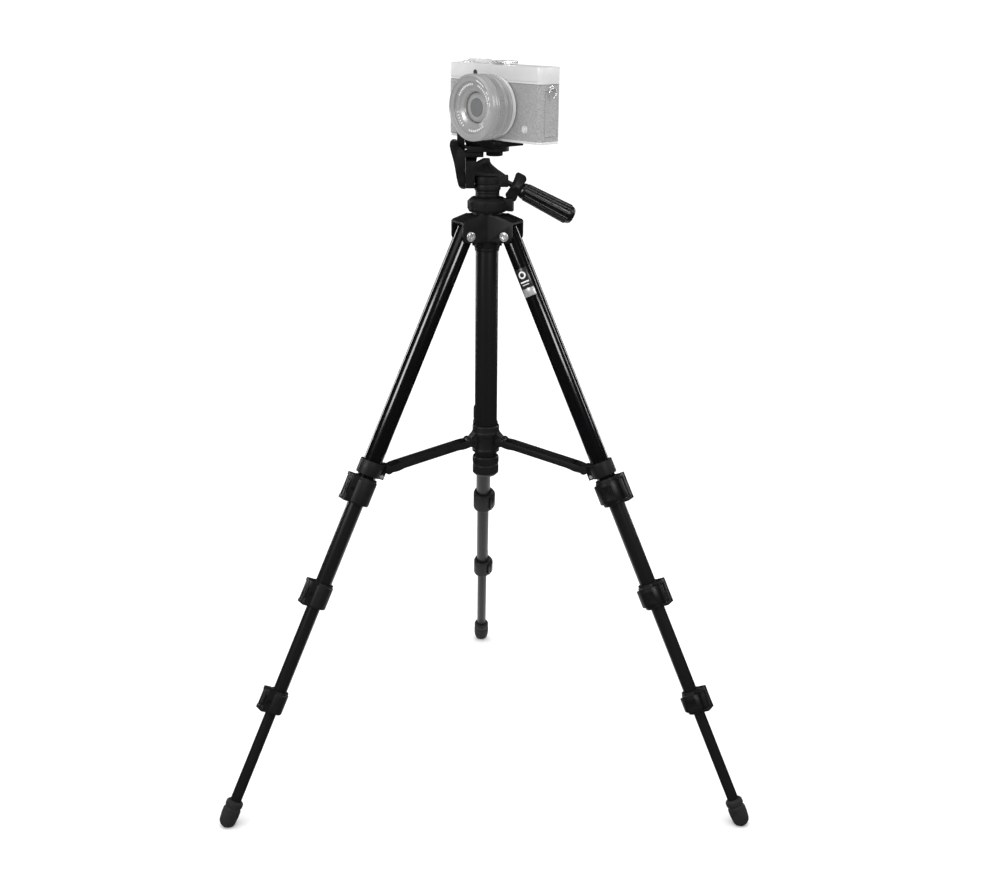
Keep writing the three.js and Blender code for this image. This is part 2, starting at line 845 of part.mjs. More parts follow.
function hotShoe() {
  const low = camera.top + clearance;
  const half = shoe.width / 2;
  const body = box(
    [shoe.x - half, shoe.x + half],
    [shoe.y - shoe.depth / 2, shoe.y + shoe.depth / 2],
    [low, low + shoe.height],
  );
  const channel = box(
    [shoe.x - half + 1.2, shoe.x + half - 1.2],
    [-30, 30],
    [low + 0.8, low + 0.8 + shoe.slot],
  );
  const opening = box([shoe.x - half + 3.2, shoe.x + half - 3.2], [-30, 30], [low + 0.8, low + 10]);
  return cut(body, channel, opening);
}

function rearScreen() {
  const low = camera.depth / 2 - 1.2 + clearance;
  const half = screen.width / 2;
  return box(
    [screen.x - half, screen.x + half],
    [low, low + screen.thickness],
    [screen.base, screen.base + screen.height],
  );
}

function makeCamera() {
  const stations = lensStations();
  const { mount, aperture, focus, front } = stations;
  const ringBore = lens.core + clearance;
  const ringOf = (radius, { from, to }) =>
    lensTurned([
      [ringBore, from],
      [radius - 0.6, from],
      [radius, from + 0.6],
      [radius, to - 0.6],
      [radius - 0.6, to],
      [ringBore, to],
    ]);
  const barrel = lensTurned([
    [lens.glass + clearance, mount.from],
    [lens.core, mount.from],
    [lens.core, front.from],
    [lens.front.radius, front.from],
    [lens.front.radius, front.to - 1],
    [lens.front.radius - 1, front.to],
    [lens.mouth + 3, front.to],
    [lens.mouth, front.to - lens.mouthDepth],
    [lens.glass + clearance, front.to - lens.mouthDepth - 3],
  ]);
  const glassFace = front.to - lens.mouthDepth - 3.4;
  const glass = lensTurned([
    [0, glassFace - 6],
    [lens.glass, glassFace - 6],
    [lens.glass, glassFace - 1.6],
    [lens.glass * 0.6, glassFace - 0.4],
    [0, glassFace],
  ]);
  const press = pin(
    button.radius,
    button.x,
    button.y,
    camera.top - button.well + 1.3,
    camera.top + button.proud,
    18,
  );
  const group = new THREE.Group();
  group.position.set(camera.x, camera.y, 0);
  group.rotation.z = camera.turn;
  group.add(
    piece("camera_shell", "leather", cameraShell()),
    piece("top_plate", "silver", topPlate()),
    piece("lens_mount", "silver", ringOf(lens.mount.radius, mount)),
    piece("aperture_ring", "lensMetal", ringOf(lens.aperture.radius, aperture)),
    piece("focus_ring", "lensMetal", ringOf(lens.focus.radius, focus)),
    piece("lens_barrel", "lensMetal", barrel),
    piece("front_glass", "glass", glass),
    piece("shutter_button", "steel", press),
    piece("shutter_dial", "silver", knurledDial(shutterDial)),
    piece("exposure_dial", "silver", knurledDial(exposureDial)),
    piece("hot_shoe", "steel", hotShoe()),
    piece("rear_screen", "screen", rearScreen()),
  );
  return group;
}

// ---- the whole object ---------------------------------------------------

const object = new THREE.Group();
object.add(...legs.map(makeLeg));
object.add(
  piece("hub", "plastic", hubBody()),
  piece("centre_sleeve", "gloss", tube(sleeve.radius, sleeve.bore, sleeve.bottom, sleeve.top)),
  piece("sleeve_cap", "plastic", sleeveCap()),
  piece("brace_collar", "plastic", braceCollar()),
  piece("centre_column", "satin", tube(column.radius, column.bore, column.bottom, column.top)),
  piece("column_lock_ring", "plastic", columnLockRing()),
  piece("head_base", "plastic", headBaseBody()),
  piece("pan_body", "plastic", panBody()),
  piece("tilt_bracket", "plastic", tiltBracket()),
  piece("platform", "plastic", platformBody()),
  piece("quick_release_plate", "rubber", releasePlate()),
  piece("camera_screw", "plastic", cameraScrew()),
  piece("wing_knob", "plastic", wingKnob()),
  piece("handle_rod", "steel", handleRod()),
  piece("handle_grip", "rubber", handleGrip()),
);
object.add(makeCamera());

// The frame's origin is under the middle of the object's box, on the ground.
object.updateMatrixWorld(true);
const bounds = new THREE.Box3().setFromObject(object, true);
object.position.x = -(bounds.min.x + bounds.max.x) / 2;
object.position.y = -(bounds.min.y + bounds.max.y) / 2;

const group = new THREE.Group();
group.add(object);

export default group;
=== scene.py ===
import math
import bmesh
import bpy
from mathutils import Matrix, Vector


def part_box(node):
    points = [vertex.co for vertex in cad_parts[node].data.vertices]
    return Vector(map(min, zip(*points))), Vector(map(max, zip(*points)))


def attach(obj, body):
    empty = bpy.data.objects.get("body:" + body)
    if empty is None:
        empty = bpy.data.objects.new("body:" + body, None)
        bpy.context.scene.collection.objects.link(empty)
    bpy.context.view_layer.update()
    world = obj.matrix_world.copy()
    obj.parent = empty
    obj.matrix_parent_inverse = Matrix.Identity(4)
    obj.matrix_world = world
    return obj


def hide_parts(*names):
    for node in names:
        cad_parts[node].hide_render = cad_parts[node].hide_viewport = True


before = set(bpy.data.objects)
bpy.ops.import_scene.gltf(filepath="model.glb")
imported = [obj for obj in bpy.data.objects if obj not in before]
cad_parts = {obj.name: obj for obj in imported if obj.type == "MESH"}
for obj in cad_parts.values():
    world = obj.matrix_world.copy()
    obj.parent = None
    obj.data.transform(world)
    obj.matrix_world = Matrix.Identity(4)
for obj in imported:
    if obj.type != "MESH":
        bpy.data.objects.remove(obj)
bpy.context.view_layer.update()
print("frame loaded:", len(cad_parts), "nodes")

# shapes are made in millimetres about the centre column and laid into the frame by these matrices

sleeveLow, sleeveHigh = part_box("centre_sleeve")
columnX = (sleeveLow.x + sleeveHigh.x) / 2
columnY = (sleeveLow.y + sleeveHigh.y) / 2
standing = Matrix.Translation((columnX, columnY, 0)) @ Matrix.Scale(0.001, 4)

stance = {"spread": 25.56, "hingeRadius": 26, "hingeHeight": 566.6}
azimuths = {"left": 210, "right": 330, "rear": 90}


def turnZ(degrees):
    return Matrix.Rotation(math.radians(degrees), 4, "Z")


def turnY(degrees):
    return Matrix.Rotation(math.radians(degrees), 4, "Y")


def turnX(degrees):
    return Matrix.Rotation(math.radians(degrees), 4, "X")


def shift(x, y, z):
    return Matrix.Translation((x, y, z))


def boltFrame(side):
    return standing @ turnZ(azimuths[side]) @ shift(stance["hingeRadius"], 0, stance["hingeHeight"])


def legFrame(side):
    return boltFrame(side) @ turnY(-stance["spread"])


def merge(*shapes):
    whole = bmesh.new()
    for shape in shapes:
        scrap = bpy.data.meshes.new("scrap")
        shape.to_mesh(scrap)
        shape.free()
        whole.from_mesh(scrap)
        bpy.data.meshes.remove(scrap)
    return whole


def moved(shape, matrix):
    bmesh.ops.transform(shape, matrix=matrix, verts=shape.verts)
    return shape


def softCorners(points, radius, steps=3, closed=True):
    # each corner of an outline becomes a small arc; a corner's third number is its own radius
    soft = []
    count = len(points)
    for i, point in enumerate(points):
        here = Vector(point[:2])
        reach = point[2] if len(point) > 2 else radius
        if reach <= 0 or (not closed and i in (0, count - 1)):
            soft.append(tuple(here))
            continue
        before = Vector(points[i - 1][:2]) - here
        after = Vector(points[(i + 1) % count][:2]) - here
        cut = min(reach, before.length * 0.48, after.length * 0.48)
        start = here + before.normalized() * cut
        end = here + after.normalized() * cut
        for step in range(steps + 1):
            t = step / steps
            soft.append(tuple(start * (1 - t) ** 2 + here * 2 * t * (1 - t) + end * t * t))
    return soft


def turned(profile, steps=56, ring=False):
    # revolves (radius, height) points about Z; with ring the profile is a closed loop round a hole
    shape = bmesh.new()
    rows = []
    for radius, height in profile:
        if radius < 1e-5:
            rows.append([shape.verts.new((0, 0, height))])
            continue
        rows.append([
            shape.verts.new((radius * math.cos(a), radius * math.sin(a), height))
            for a in (2 * math.pi * i / steps for i in range(steps))
        ])
    pairs = list(zip(rows, rows[1:]))
    if ring:
        pairs.append((rows[-1], rows[0]))
    for lower, upper in pairs:
        for i in range(steps):
            j = (i + 1) % steps
            a = lower[i % len(lower)]
            b = lower[j % len(lower)]
            c = upper[j % len(upper)]
            d = upper[i % len(upper)]
            corners = list(dict.fromkeys((a, b, c, d)))
            if len(corners) > 2:
                shape.faces.new(corners)
    bmesh.ops.recalc_face_normals(shape, faces=shape.faces)
    return shape


def pipe(radius, bore, low, high, edge=0.4, steps=56):
    outline = [(bore, low), (radius, low), (radius, high), (bore, high)]
    return turned(softCorners(outline, edge, 2), steps, ring=True)


def puck(radius, low, high, edge=0.4, steps=48):
    outline = [(0, low), (radius, low), (radius, high), (0, high)]
    return turned(softCorners(outline, edge, 3, closed=False), steps)


def slab(outline, low, high):
    shape = bmesh.new()
    bottom = [shape.verts.new((x, y, low)) for x, y in outline]
    top = [shape.verts.new((x, y, high)) for x, y in outline]
    shape.faces.new(bottom[::-1])
    shape.faces.new(top)
    for i in range(len(outline)):
        j = (i + 1) % len(outline)
        shape.faces.new((bottom[i], bottom[j], top[j], top[i]))
    bmesh.ops.recalc_face_normals(shape, faces=shape.faces)
    return shape


def sideSlab(outline, low, high):
    # the outline is in (x, z) and the slab runs along Y
    return moved(slab([(x, -z) for x, z in outline], low, high), turnX(-90))


def brick(x, y, z):
    return slab([(x[0], y[0]), (x[1], y[0]), (x[1], y[1]), (x[0], y[1])], *z)


def roundBrick(x, y, z, corner, steps=4):
    outline = [(x[0], y[0]), (x[1], y[0]), (x[1], y[1]), (x[0], y[1])]
    return slab(softCorners(outline, corner, steps), *z)


def acrossY(radius, x, z, low, high, steps=32, edge=0.2):
    return moved(puck(radius, low, high, edge, steps), shift(x, 0, z) @ turnX(-90))


def acrossX(radius, y, z, low, high, steps=32, edge=0.2):
    return moved(puck(radius, low, high, edge, steps), shift(0, y, z) @ turnY(90))


def bandOutline(inner, outer, start, end, steps=20):
    angles = [start + (end - start) * i / steps for i in range(steps + 1)]
    outside = [(outer * math.cos(a), outer * math.sin(a)) for a in angles]
    inside = [(inner * math.cos(a), inner * math.sin(a)) for a in reversed(angles)]
    return outside + inside


def cleaned(shape):
    bmesh.ops.remove_doubles(shape, verts=shape.verts, dist=1e-4)
    bmesh.ops.dissolve_degenerate(shape, edges=shape.edges, dist=1e-4)
    bmesh.ops.dissolve_limit(
        shape, angle_limit=math.radians(0.6), verts=shape.verts, edges=shape.edges)
    return shape


def evaluated(obj):
    bpy.context.view_layer.update()
    graph = bpy.context.evaluated_depsgraph_get()
    return bpy.data.meshes.new_from_object(obj.evaluated_get(graph), depsgraph=graph)


def looseObject(shape, name="loose"):
    mesh = bpy.data.meshes.new(name)
    shape.to_mesh(mesh)
    shape.free()
    obj = bpy.data.objects.new(name, mesh)
    bpy.context.scene.collection.objects.link(obj)
    return obj


def drop(obj):
    mesh = obj.data
    bpy.data.objects.remove(obj)
    bpy.data.meshes.remove(mesh)


def carved(shape, tools, way="DIFFERENCE"):
    base = looseObject(shape)
    helpers = []
    for tool in tools:
        helper = looseObject(tool)
        helpers.append(helper)
        step = base.modifiers.new("carve", "BOOLEAN")
        step.operation = way
        step.solver = "MANIFOLD"
        step.object = helper
    mesh = evaluated(base)
    result = bmesh.new()
    result.from_mesh(mesh)
    bpy.data.meshes.remove(mesh)
    for obj in [base, *helpers]:
        drop(obj)
    return cleaned(result)


def fused(shape, *others):
    return carved(shape, others, "UNION")


def addWrap(mesh):
    # a UV map round the shape's own Z axis: u is the angle, v is the height in metres
    layer = mesh.uv_layers.new(name="wrap")
    for polygon in mesh.polygons:
        angles = []
        for corner in polygon.loop_indices:
            x, y, z = mesh.vertices[mesh.loops[corner].vertex_index].co
            angles.append([corner, math.atan2(y, x), z])
        if max(a[1] for a in angles) - min(a[1] for a in angles) > math.pi:
            for entry in angles:
                if entry[1] < 0:
                    entry[1] += 2 * math.pi
        for corner, angle, z in angles:
            layer.data[corner].uv = (angle, z * 0.001)


def made(name, shape, paint, body, place=standing, bevel=0.0, angle=32,
         replaces=(), wrap=False, smooth=38, segments=2):
    obj = looseObject(shape, name)
    if bevel:
        edge = obj.modifiers.new("edge", "BEVEL")
        edge.width = bevel
        edge.segments = segments
        edge.limit_method = "ANGLE"
        edge.angle_limit = math.radians(angle)
        edge.miter_outer = "MITER_ARC"
        mesh = evaluated(obj)
        old = obj.data
        obj.modifiers.clear()
        obj.data = mesh
        bpy.data.meshes.remove(old)
    mesh = obj.data
    mesh.name = name
    if wrap:
        addWrap(mesh)
    mesh.transform(place)
    mesh.shade_smooth()
    mesh.set_sharp_from_angle(angle=math.radians(smooth))
    mesh.materials.clear()
    mesh.materials.append(paint)
    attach(obj, body)
    if replaces:
        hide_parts(*replaces)
    return obj


def nodeFinish(name, look):
    material = bpy.data.materials.new(name)
    material.use_nodes = True
    tree = material.node_tree
    shader = tree.nodes["Principled BSDF"]
    for socket in ("Metallic", "Coat Weight", "Coat Roughness", "Specular IOR Level",
                   "Sheen Weight"):
        if socket in look:
            shader.inputs[socket].default_value = look[socket]
    coords = tree.nodes.new("ShaderNodeTexCoord")
    mapping = tree.nodes.new("ShaderNodeMapping")
    mapping.inputs["Scale"].default_value = look.get("stretch", (1, 1, 1))
    source = "UV" if look.get("wrap") else "Object"
    tree.links.new(coords.outputs[source], mapping.inputs["Vector"])

    def noise(scale, detail, rough=0.55):
        node = tree.nodes.new("ShaderNodeTexNoise")
        node.inputs["Scale"].default_value = scale
        node.inputs["Detail"].default_value = detail
        node.inputs["Roughness"].default_value = rough
        tree.links.new(mapping.outputs["Vector"], node.inputs["Vector"])
        return node

    clouds = noise(look.get("clouds", 60), 4)
    ramp = tree.nodes.new("ShaderNodeValToRGB")
    ramp.color_ramp.elements[0].position = 0.3
    ramp.color_ramp.elements[1].position = 0.7
    ramp.color_ramp.elements[0].color = (*look["dark"], 1)
    ramp.color_ramp.elements[1].color = (*look["light"], 1)
    tree.links.new(clouds.outputs["Fac"], ramp.inputs["Fac"])
    tree.links.new(ramp.outputs["Color"], shader.inputs["Base Color"])

    smudge = noise(look.get("smudge", 180), 5)
    spread = tree.nodes.new("ShaderNodeMapRange")
    spread.inputs["From Min"].default_value = 0.3
    spread.inputs["From Max"].default_value = 0.7
    spread.inputs["To Min"].default_value = look["gloss"][0]
    spread.inputs["To Max"].default_value = look["gloss"][1]
    tree.links.new(smudge.outputs["Fac"], spread.inputs["Value"])
    tree.links.new(spread.outputs["Result"], shader.inputs["Roughness"])

    bump = tree.nodes.new("ShaderNodeBump")
    bump.inputs["Strength"].default_value = look.get("bump", 0.15)
    bump.inputs["Distance"].default_value = look.get("depth", 0.0001)
    if look.get("cells"):
        cells = tree.nodes.new("ShaderNodeTexVoronoi")
        cells.feature = "SMOOTH_F1"
        cells.inputs["Scale"].default_value = look["cells"]
        cells.inputs["Smoothness"].default_value = 0.35
        tree.links.new(mapping.outputs["Vector"], cells.inputs["Vector"])
        grain = noise(look["grain"], 3)
        mix = tree.nodes.new("ShaderNodeMath")
        mix.operation = "MULTIPLY_ADD"
        mix.inputs[1].default_value = 0.35
        tree.links.new(grain.outputs["Fac"], mix.inputs[0])
        tree.links.new(cells.outputs["Distance"], mix.inputs[2])
        tree.links.new(mix.outputs["Value"], bump.inputs["Height"])
    else:
        grain = noise(look["grain"], 4, 0.6)
        tree.links.new(grain.outputs["Fac"], bump.inputs["Height"])
    tree.links.new(bump.outputs["Normal"], shader.inputs["Normal"])
    return material


looks = {
    "glossTube": {"dark": (0.0025, 0.0025, 0.003), "light": (0.0045, 0.0045, 0.005),
                  "Specular IOR Level": 0.5,
                  "gloss": (0.12, 0.18), "grain": 260, "bump": 0.04, "wrap": True,
                  "stretch": (9, 0.6, 1), "clouds": 7, "smudge": 12, "depth": 0.00005},
    "satinTube": {"dark": (0.006, 0.006, 0.0063), "light": (0.010, 0.010, 0.0105),
                  "Specular IOR Level": 0.26,
                  "gloss": (0.26, 0.36), "grain": 300, "bump": 0.08, "wrap": True,
                  "stretch": (9, 0.6, 1), "clouds": 6, "smudge": 14, "depth": 0.00005},
    "sleeveTube": {"dark": (0.006, 0.006, 0.0066), "light": (0.010, 0.010, 0.011),
                   "Specular IOR Level": 0.24,
                   "gloss": (0.3, 0.4), "grain": 300, "bump": 0.06, "wrap": True,
                   "stretch": (9, 0.6, 1), "clouds": 6, "smudge": 14, "depth": 0.00005},
    "mattePlastic": {"dark": (0.0055, 0.0055, 0.0054), "light": (0.0095, 0.0095, 0.0092),
                     "Specular IOR Level": 0.22,
                     "gloss": (0.42, 0.56), "grain": 2600, "bump": 0.22, "depth": 0.00009,
                     "clouds": 45, "smudge": 260},
    "leverPlastic": {"dark": (0.005, 0.005, 0.005), "light": (0.0085, 0.0085, 0.0083),
                     "Specular IOR Level": 0.26,
                     "gloss": (0.32, 0.45), "grain": 1900, "bump": 0.16, "depth": 0.00008,
                     "clouds": 60, "smudge": 200},
    "footRubber": {"dark": (0.007, 0.007, 0.007), "light": (0.013, 0.013, 0.0128),
                   "Specular IOR Level": 0.25,
                   "gloss": (0.6, 0.78), "grain": 900, "bump": 0.3, "depth": 0.00012,
                   "clouds": 90, "smudge": 160, "Sheen Weight": 0.05},
    "gripRubber": {"dark": (0.004, 0.004, 0.004), "light": (0.0075, 0.0075, 0.0075),
                   "Specular IOR Level": 0.5,
                   "gloss": (0.22, 0.34), "grain": 1400, "bump": 0.12, "depth": 0.00006,
                   "clouds": 70, "smudge": 150},
    "boltSteel": {"dark": (0.82, 0.82, 0.82), "light": (0.94, 0.94, 0.94),
                  "gloss": (0.16, 0.3), "grain": 1500, "bump": 0.08, "Metallic": 0.75,
                  "clouds": 200, "smudge": 500},
    "blackSteel": {"dark": (0.02, 0.02, 0.02), "light": (0.035, 0.035, 0.035),
                   "gloss": (0.28, 0.42), "grain": 1500, "bump": 0.1, "Metallic": 0.8,
                   "clouds": 200, "smudge": 500},
    "silverPaint": {"dark": (0.66, 0.66, 0.657), "light": (0.74, 0.74, 0.735),
                    "gloss": (0.3, 0.4), "grain": 4200, "bump": 0.07, "depth": 0.00003,
                    "clouds": 30, "smudge": 400, "Metallic": 0.1},
    "leatherSkin": {"dark": (0.24, 0.24, 0.238), "light": (0.44, 0.44, 0.436),
                    "gloss": (0.5, 0.66), "cells": 1150, "grain": 3200, "bump": 1.0,
                    "depth": 0.0003, "clouds": 850, "smudge": 600},
    "paleMetal": {"dark": (0.325, 0.325, 0.324), "light": (0.345, 0.345, 0.346),
                  "gloss": (0.24, 0.28), "grain": 3200, "bump": 0.015, "depth": 0.00003,
                  "clouds": 60, "smudge": 300, "Metallic": 0.1},
    "palePlastic": {"dark": (0.30, 0.30, 0.298), "light": (0.36, 0.36, 0.357),
                    "gloss": (0.38, 0.5), "grain": 2600, "bump": 0.1, "depth": 0.00006,
                    "clouds": 90, "smudge": 300},
    "lensGlass": {"dark": (0.25, 0.252, 0.255), "light": (0.28, 0.283, 0.288),
                  "gloss": (0.03, 0.06), "grain": 300, "bump": 0.01, "clouds": 25,
                  "smudge": 60, "Coat Weight": 0.6, "Coat Roughness": 0.02},
    "innerGlass": {"dark": (0.17, 0.172, 0.175), "light": (0.2, 0.203, 0.208),
                   "gloss": (0.05, 0.1), "grain": 300, "bump": 0.01, "clouds": 30,
                   "smudge": 60, "Coat Weight": 0.5, "Coat Roughness": 0.03},
    "screenGlass": {"dark": (0.045, 0.047, 0.05), "light": (0.06, 0.062, 0.066),
                    "gloss": (0.06, 0.12), "grain": 500, "bump": 0.01, "clouds": 20,
                    "smudge": 70, "Coat Weight": 0.4, "Coat Roughness": 0.05},
    "whiteInk": {"dark": (0.72, 0.72, 0.72), "light": (0.86, 0.86, 0.86),
                 "gloss": (0.45, 0.6), "grain": 1800, "bump": 0.05, "clouds": 300},
    "silverFoil": {"dark": (0.42, 0.42, 0.42), "light": (0.58, 0.58, 0.58),
                   "gloss": (0.3, 0.42), "grain": 2400, "bump": 0.05, "clouds": 220,
                   "Metallic": 0.5},
    "darkFoil": {"dark": (0.018, 0.018, 0.018), "light": (0.028, 0.028, 0.028),
                 "gloss": (0.2, 0.32), "grain": 2400, "bump": 0.03, "clouds": 160},
    "shadowGap": {"dark": (0.003, 0.003, 0.003), "light": (0.006, 0.006, 0.006),
                  "gloss": (0.7, 0.85), "grain": 900, "bump": 0.1, "clouds": 100},
}
finishes = {name: nodeFinish(name, look) for name, look in looks.items()}
print("finishes made:", len(finishes))


def newTree(name, sockets):
    tree = bpy.data.node_groups.new(name, "GeometryNodeTree")
    tree.interface.new_socket("Geometry", in_out="OUTPUT", socket_type="NodeSocketGeometry")
    for label, kind in sockets:
        tree.interface.new_socket(label, in_out="INPUT", socket_type=kind)
    start = tree.nodes.new("NodeGroupInput")
    end = tree.nodes.new("NodeGroupOutput")
    return tree, start, end


def mathNode(tree, operation, first, second):
    node = tree.nodes.new("ShaderNodeMath")
    node.operation = operation
    for i, value in enumerate((first, second)):
        if value is None:
            continue
        if isinstance(value, (int, float)):
            node.inputs[i].default_value = value
        else:
            tree.links.new(value, node.inputs[i])
    return node.outputs[0]


def closeTree(tree, start, end, instances):
    smooth = tree.nodes.new("GeometryNodeSetShadeSmooth")
    smooth.inputs["Shade Smooth"].default_value = False
    real = tree.nodes.new("GeometryNodeRealizeInstances")
    paint = tree.nodes.new("GeometryNodeSetMaterial")
    tree.links.new(instances, real.inputs[0])
    tree.links.new(real.outputs[0], smooth.inputs["Geometry"])
    tree.links.new(smooth.outputs[0], paint.inputs["Geometry"])
    tree.links.new(start.outputs["Material"], paint.inputs["Material"])
    tree.links.new(paint.outputs[0], end.inputs["Geometry"])


def ringTree(name, shapeNode):
    # Count copies round Z at Radius, each turned to face outwards and leaning by Lean
    extra = [("Rib radius", "NodeSocketFloat"), ("Rib length", "NodeSocketFloat")]
    if shapeNode == "box":
        extra = [("Box size", "NodeSocketVector")]
    tree, start, end = newTree(name, [
        ("Count", "NodeSocketInt"), ("Radius", "NodeSocketFloat"), ("Start", "NodeSocketFloat"),
        ("Sweep", "NodeSocketFloat"), ("Lean", "NodeSocketFloat"), *extra,
        ("Material", "NodeSocketMaterial")])
    index = tree.nodes.new("GeometryNodeInputIndex")
    part = mathNode(tree, "DIVIDE", index.outputs[0], start.outputs["Count"])
    swept = mathNode(tree, "MULTIPLY", part, start.outputs["Sweep"])
    angle = mathNode(tree, "ADD", swept, start.outputs["Start"])
    x = mathNode(tree, "MULTIPLY", mathNode(tree, "COSINE", angle, None), start.outputs["Radius"])
    y = mathNode(tree, "MULTIPLY", mathNode(tree, "SINE", angle, None), start.outputs["Radius"])
    spot = tree.nodes.new("ShaderNodeCombineXYZ")
    tree.links.new(x, spot.inputs[0])
    tree.links.new(y, spot.inputs[1])
    turn = tree.nodes.new("ShaderNodeCombineXYZ")
    tree.links.new(start.outputs["Lean"], turn.inputs[1])
    tree.links.new(angle, turn.inputs[2])
    points = tree.nodes.new("GeometryNodePoints")
    tree.links.new(start.outputs["Count"], points.inputs["Count"])
    tree.links.new(spot.outputs[0], points.inputs["Position"])
    if shapeNode == "box":
        rib = tree.nodes.new("GeometryNodeMeshCube")
        tree.links.new(start.outputs["Box size"], rib.inputs["Size"])
    else:
        rib = tree.nodes.new("GeometryNodeMeshCylinder")
        rib.inputs["Vertices"].default_value = 14
        tree.links.new(start.outputs["Rib radius"], rib.inputs["Radius"])
        tree.links.new(start.outputs["Rib length"], rib.inputs["Depth"])
    place = tree.nodes.new("GeometryNodeInstanceOnPoints")
    tree.links.new(points.outputs[0], place.inputs["Points"])
    tree.links.new(rib.outputs["Mesh"], place.inputs["Instance"])
    tree.links.new(turn.outputs[0], place.inputs["Rotation"])
    closeTree(tree, start, end, place.outputs[0])
    return tree


def screwTree():
    # Count cross-head screws in a row along X, Spacing apart, heads towards +Z
    tree, start, end = newTree("screwRow", [
        ("Count", "NodeSocketInt"), ("Spacing", "NodeSocketFloat"),
        ("Head radius", "NodeSocketFloat"), ("Head height", "NodeSocketFloat"),
        ("Material", "NodeSocketMaterial")])
    head = tree.nodes.new("GeometryNodeMeshCylinder")
    head.inputs["Vertices"].default_value = 28
    tree.links.new(start.outputs["Head radius"], head.inputs["Radius"])
    tree.links.new(start.outputs["Head height"], head.inputs["Depth"])
    bars = tree.nodes.new("GeometryNodeJoinGeometry")
    for turned90 in (False, True):
        size = tree.nodes.new("ShaderNodeCombineXYZ")
        long = mathNode(tree, "MULTIPLY", start.outputs["Head radius"], 1.15)
        thin = mathNode(tree, "MULTIPLY", start.outputs["Head radius"], 0.3)
        tree.links.new(thin if turned90 else long, size.inputs[0])
        tree.links.new(long if turned90 else thin, size.inputs[1])
        tree.links.new(start.outputs["Head height"], size.inputs[2])
        bar = tree.nodes.new("GeometryNodeMeshCube")
        tree.links.new(size.outputs[0], bar.inputs["Size"])
        lift = tree.nodes.new("GeometryNodeTransform")
        rise = tree.nodes.new("ShaderNodeCombineXYZ")
        tree.links.new(mathNode(tree, "MULTIPLY", start.outputs["Head height"], 0.62),
                       rise.inputs[2])
        tree.links.new(bar.outputs["Mesh"], lift.inputs["Geometry"])
        tree.links.new(rise.outputs[0], lift.inputs["Translation"])
        tree.links.new(lift.outputs[0], bars.inputs[0])
    recess = tree.nodes.new("GeometryNodeMeshBoolean")
    recess.operation = "DIFFERENCE"
    tree.links.new(head.outputs["Mesh"], recess.inputs["Mesh 1"])
    tree.links.new(bars.outputs[0], recess.inputs["Mesh 2"])
    row = tree.nodes.new("GeometryNodeMeshLine")
    step = tree.nodes.new("ShaderNodeCombineXYZ")
    tree.links.new(start.outputs["Spacing"], step.inputs[0])
    tree.links.new(start.outputs["Count"], row.inputs["Count"])
    tree.links.new(step.outputs[0], row.inputs["Offset"])
    place = tree.nodes.new("GeometryNodeInstanceOnPoints")
    tree.links.new(row.outputs[0], place.inputs["Points"])
    tree.links.new(recess.outputs["Mesh"], place.inputs["Instance"])
    closeTree(tree, start, end, place.outputs[0])
    return tree


ribRing = ringTree("ribRing", "rod")
markRing = ringTree("markRing", "box")
screwRow = screwTree()


def grown(name, tree, values, body, place, smooth=40):
    # runs a tree once, bakes it to a plain mesh and lays it in place
    mesh = bpy.data.meshes.new(name)
    obj = bpy.data.objects.new(name, mesh)
    bpy.context.scene.collection.objects.link(obj)
    maker = obj.modifiers.new("grow", "NODES")
    maker.node_group = tree
    for item in tree.interface.items_tree:
        if item.item_type == "SOCKET" and item.in_out == "INPUT":
            maker[item.identifier] = values[item.name]
    baked = evaluated(obj)
    obj.modifiers.clear()
    obj.data = baked
    bpy.data.meshes.remove(mesh)
    baked.name = name
    baked.transform(place)
    baked.shade_smooth()
    baked.set_sharp_from_angle(angle=math.radians(smooth))
    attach(obj, body)
    return obj


def ribs(name, body, place, paint, count, radius, ribRadius, ribLength,
         start=0.0, sweep=2 * math.pi, lean=0.0):
    return grown(name, ribRing, {
        "Count": count, "Radius": radius, "Start": start, "Sweep": sweep, "Lean": lean,
        "Rib radius": ribRadius, "Rib length": ribLength, "Material": finishes[paint],
    }, body, place)


def marks(name, body, place, paint, count, radius, boxSize, start=0.0,
          sweep=2 * math.pi):
    return grown(name, markRing, {
        "Count": count, "Radius": radius, "Start": start, "Sweep": sweep, "Lean": 0.0,
        "Box size": boxSize, "Material": finishes[paint],
    }, body, place)


def screws(name, body, place, count, spacing, radius, height, paint="boltSteel"):
    return grown(name, screwRow, {
        "Count": count, "Spacing": spacing, "Head radius": radius, "Head height": height,
        "Material": finishes[paint],
    }, body, place)


view = {"eye": (-20.035, -1439.34, 796.482), "look": (0.022953, 0.95620, -0.29181),
        "roll": 0.0098, "lens": 53.12, "sensor": 36.0}


def aimed(obj, look, roll=0.0):
    forward = Vector(look).normalized()
    right = forward.cross(Vector((0, 0, 1))).normalized()
    up = right.cross(forward)
    turn = Matrix((right, up, -forward)).transposed().to_4x4()
    obj.matrix_world = Matrix.Translation(obj.location) @ turn @ Matrix.Rotation(roll, 4, "Z")


lensData = bpy.data.cameras.new("viewCamera")
lensData.sensor_width = view["sensor"]
lensData.lens = view["lens"]
lensData.clip_end = 600
viewCamera = bpy.data.objects.new("viewCamera", lensData)
bpy.context.scene.collection.objects.link(viewCamera)
viewCamera.location = standing @ Vector(view["eye"])
aimed(viewCamera, view["look"], view["roll"])
bpy.context.scene.camera = viewCamera

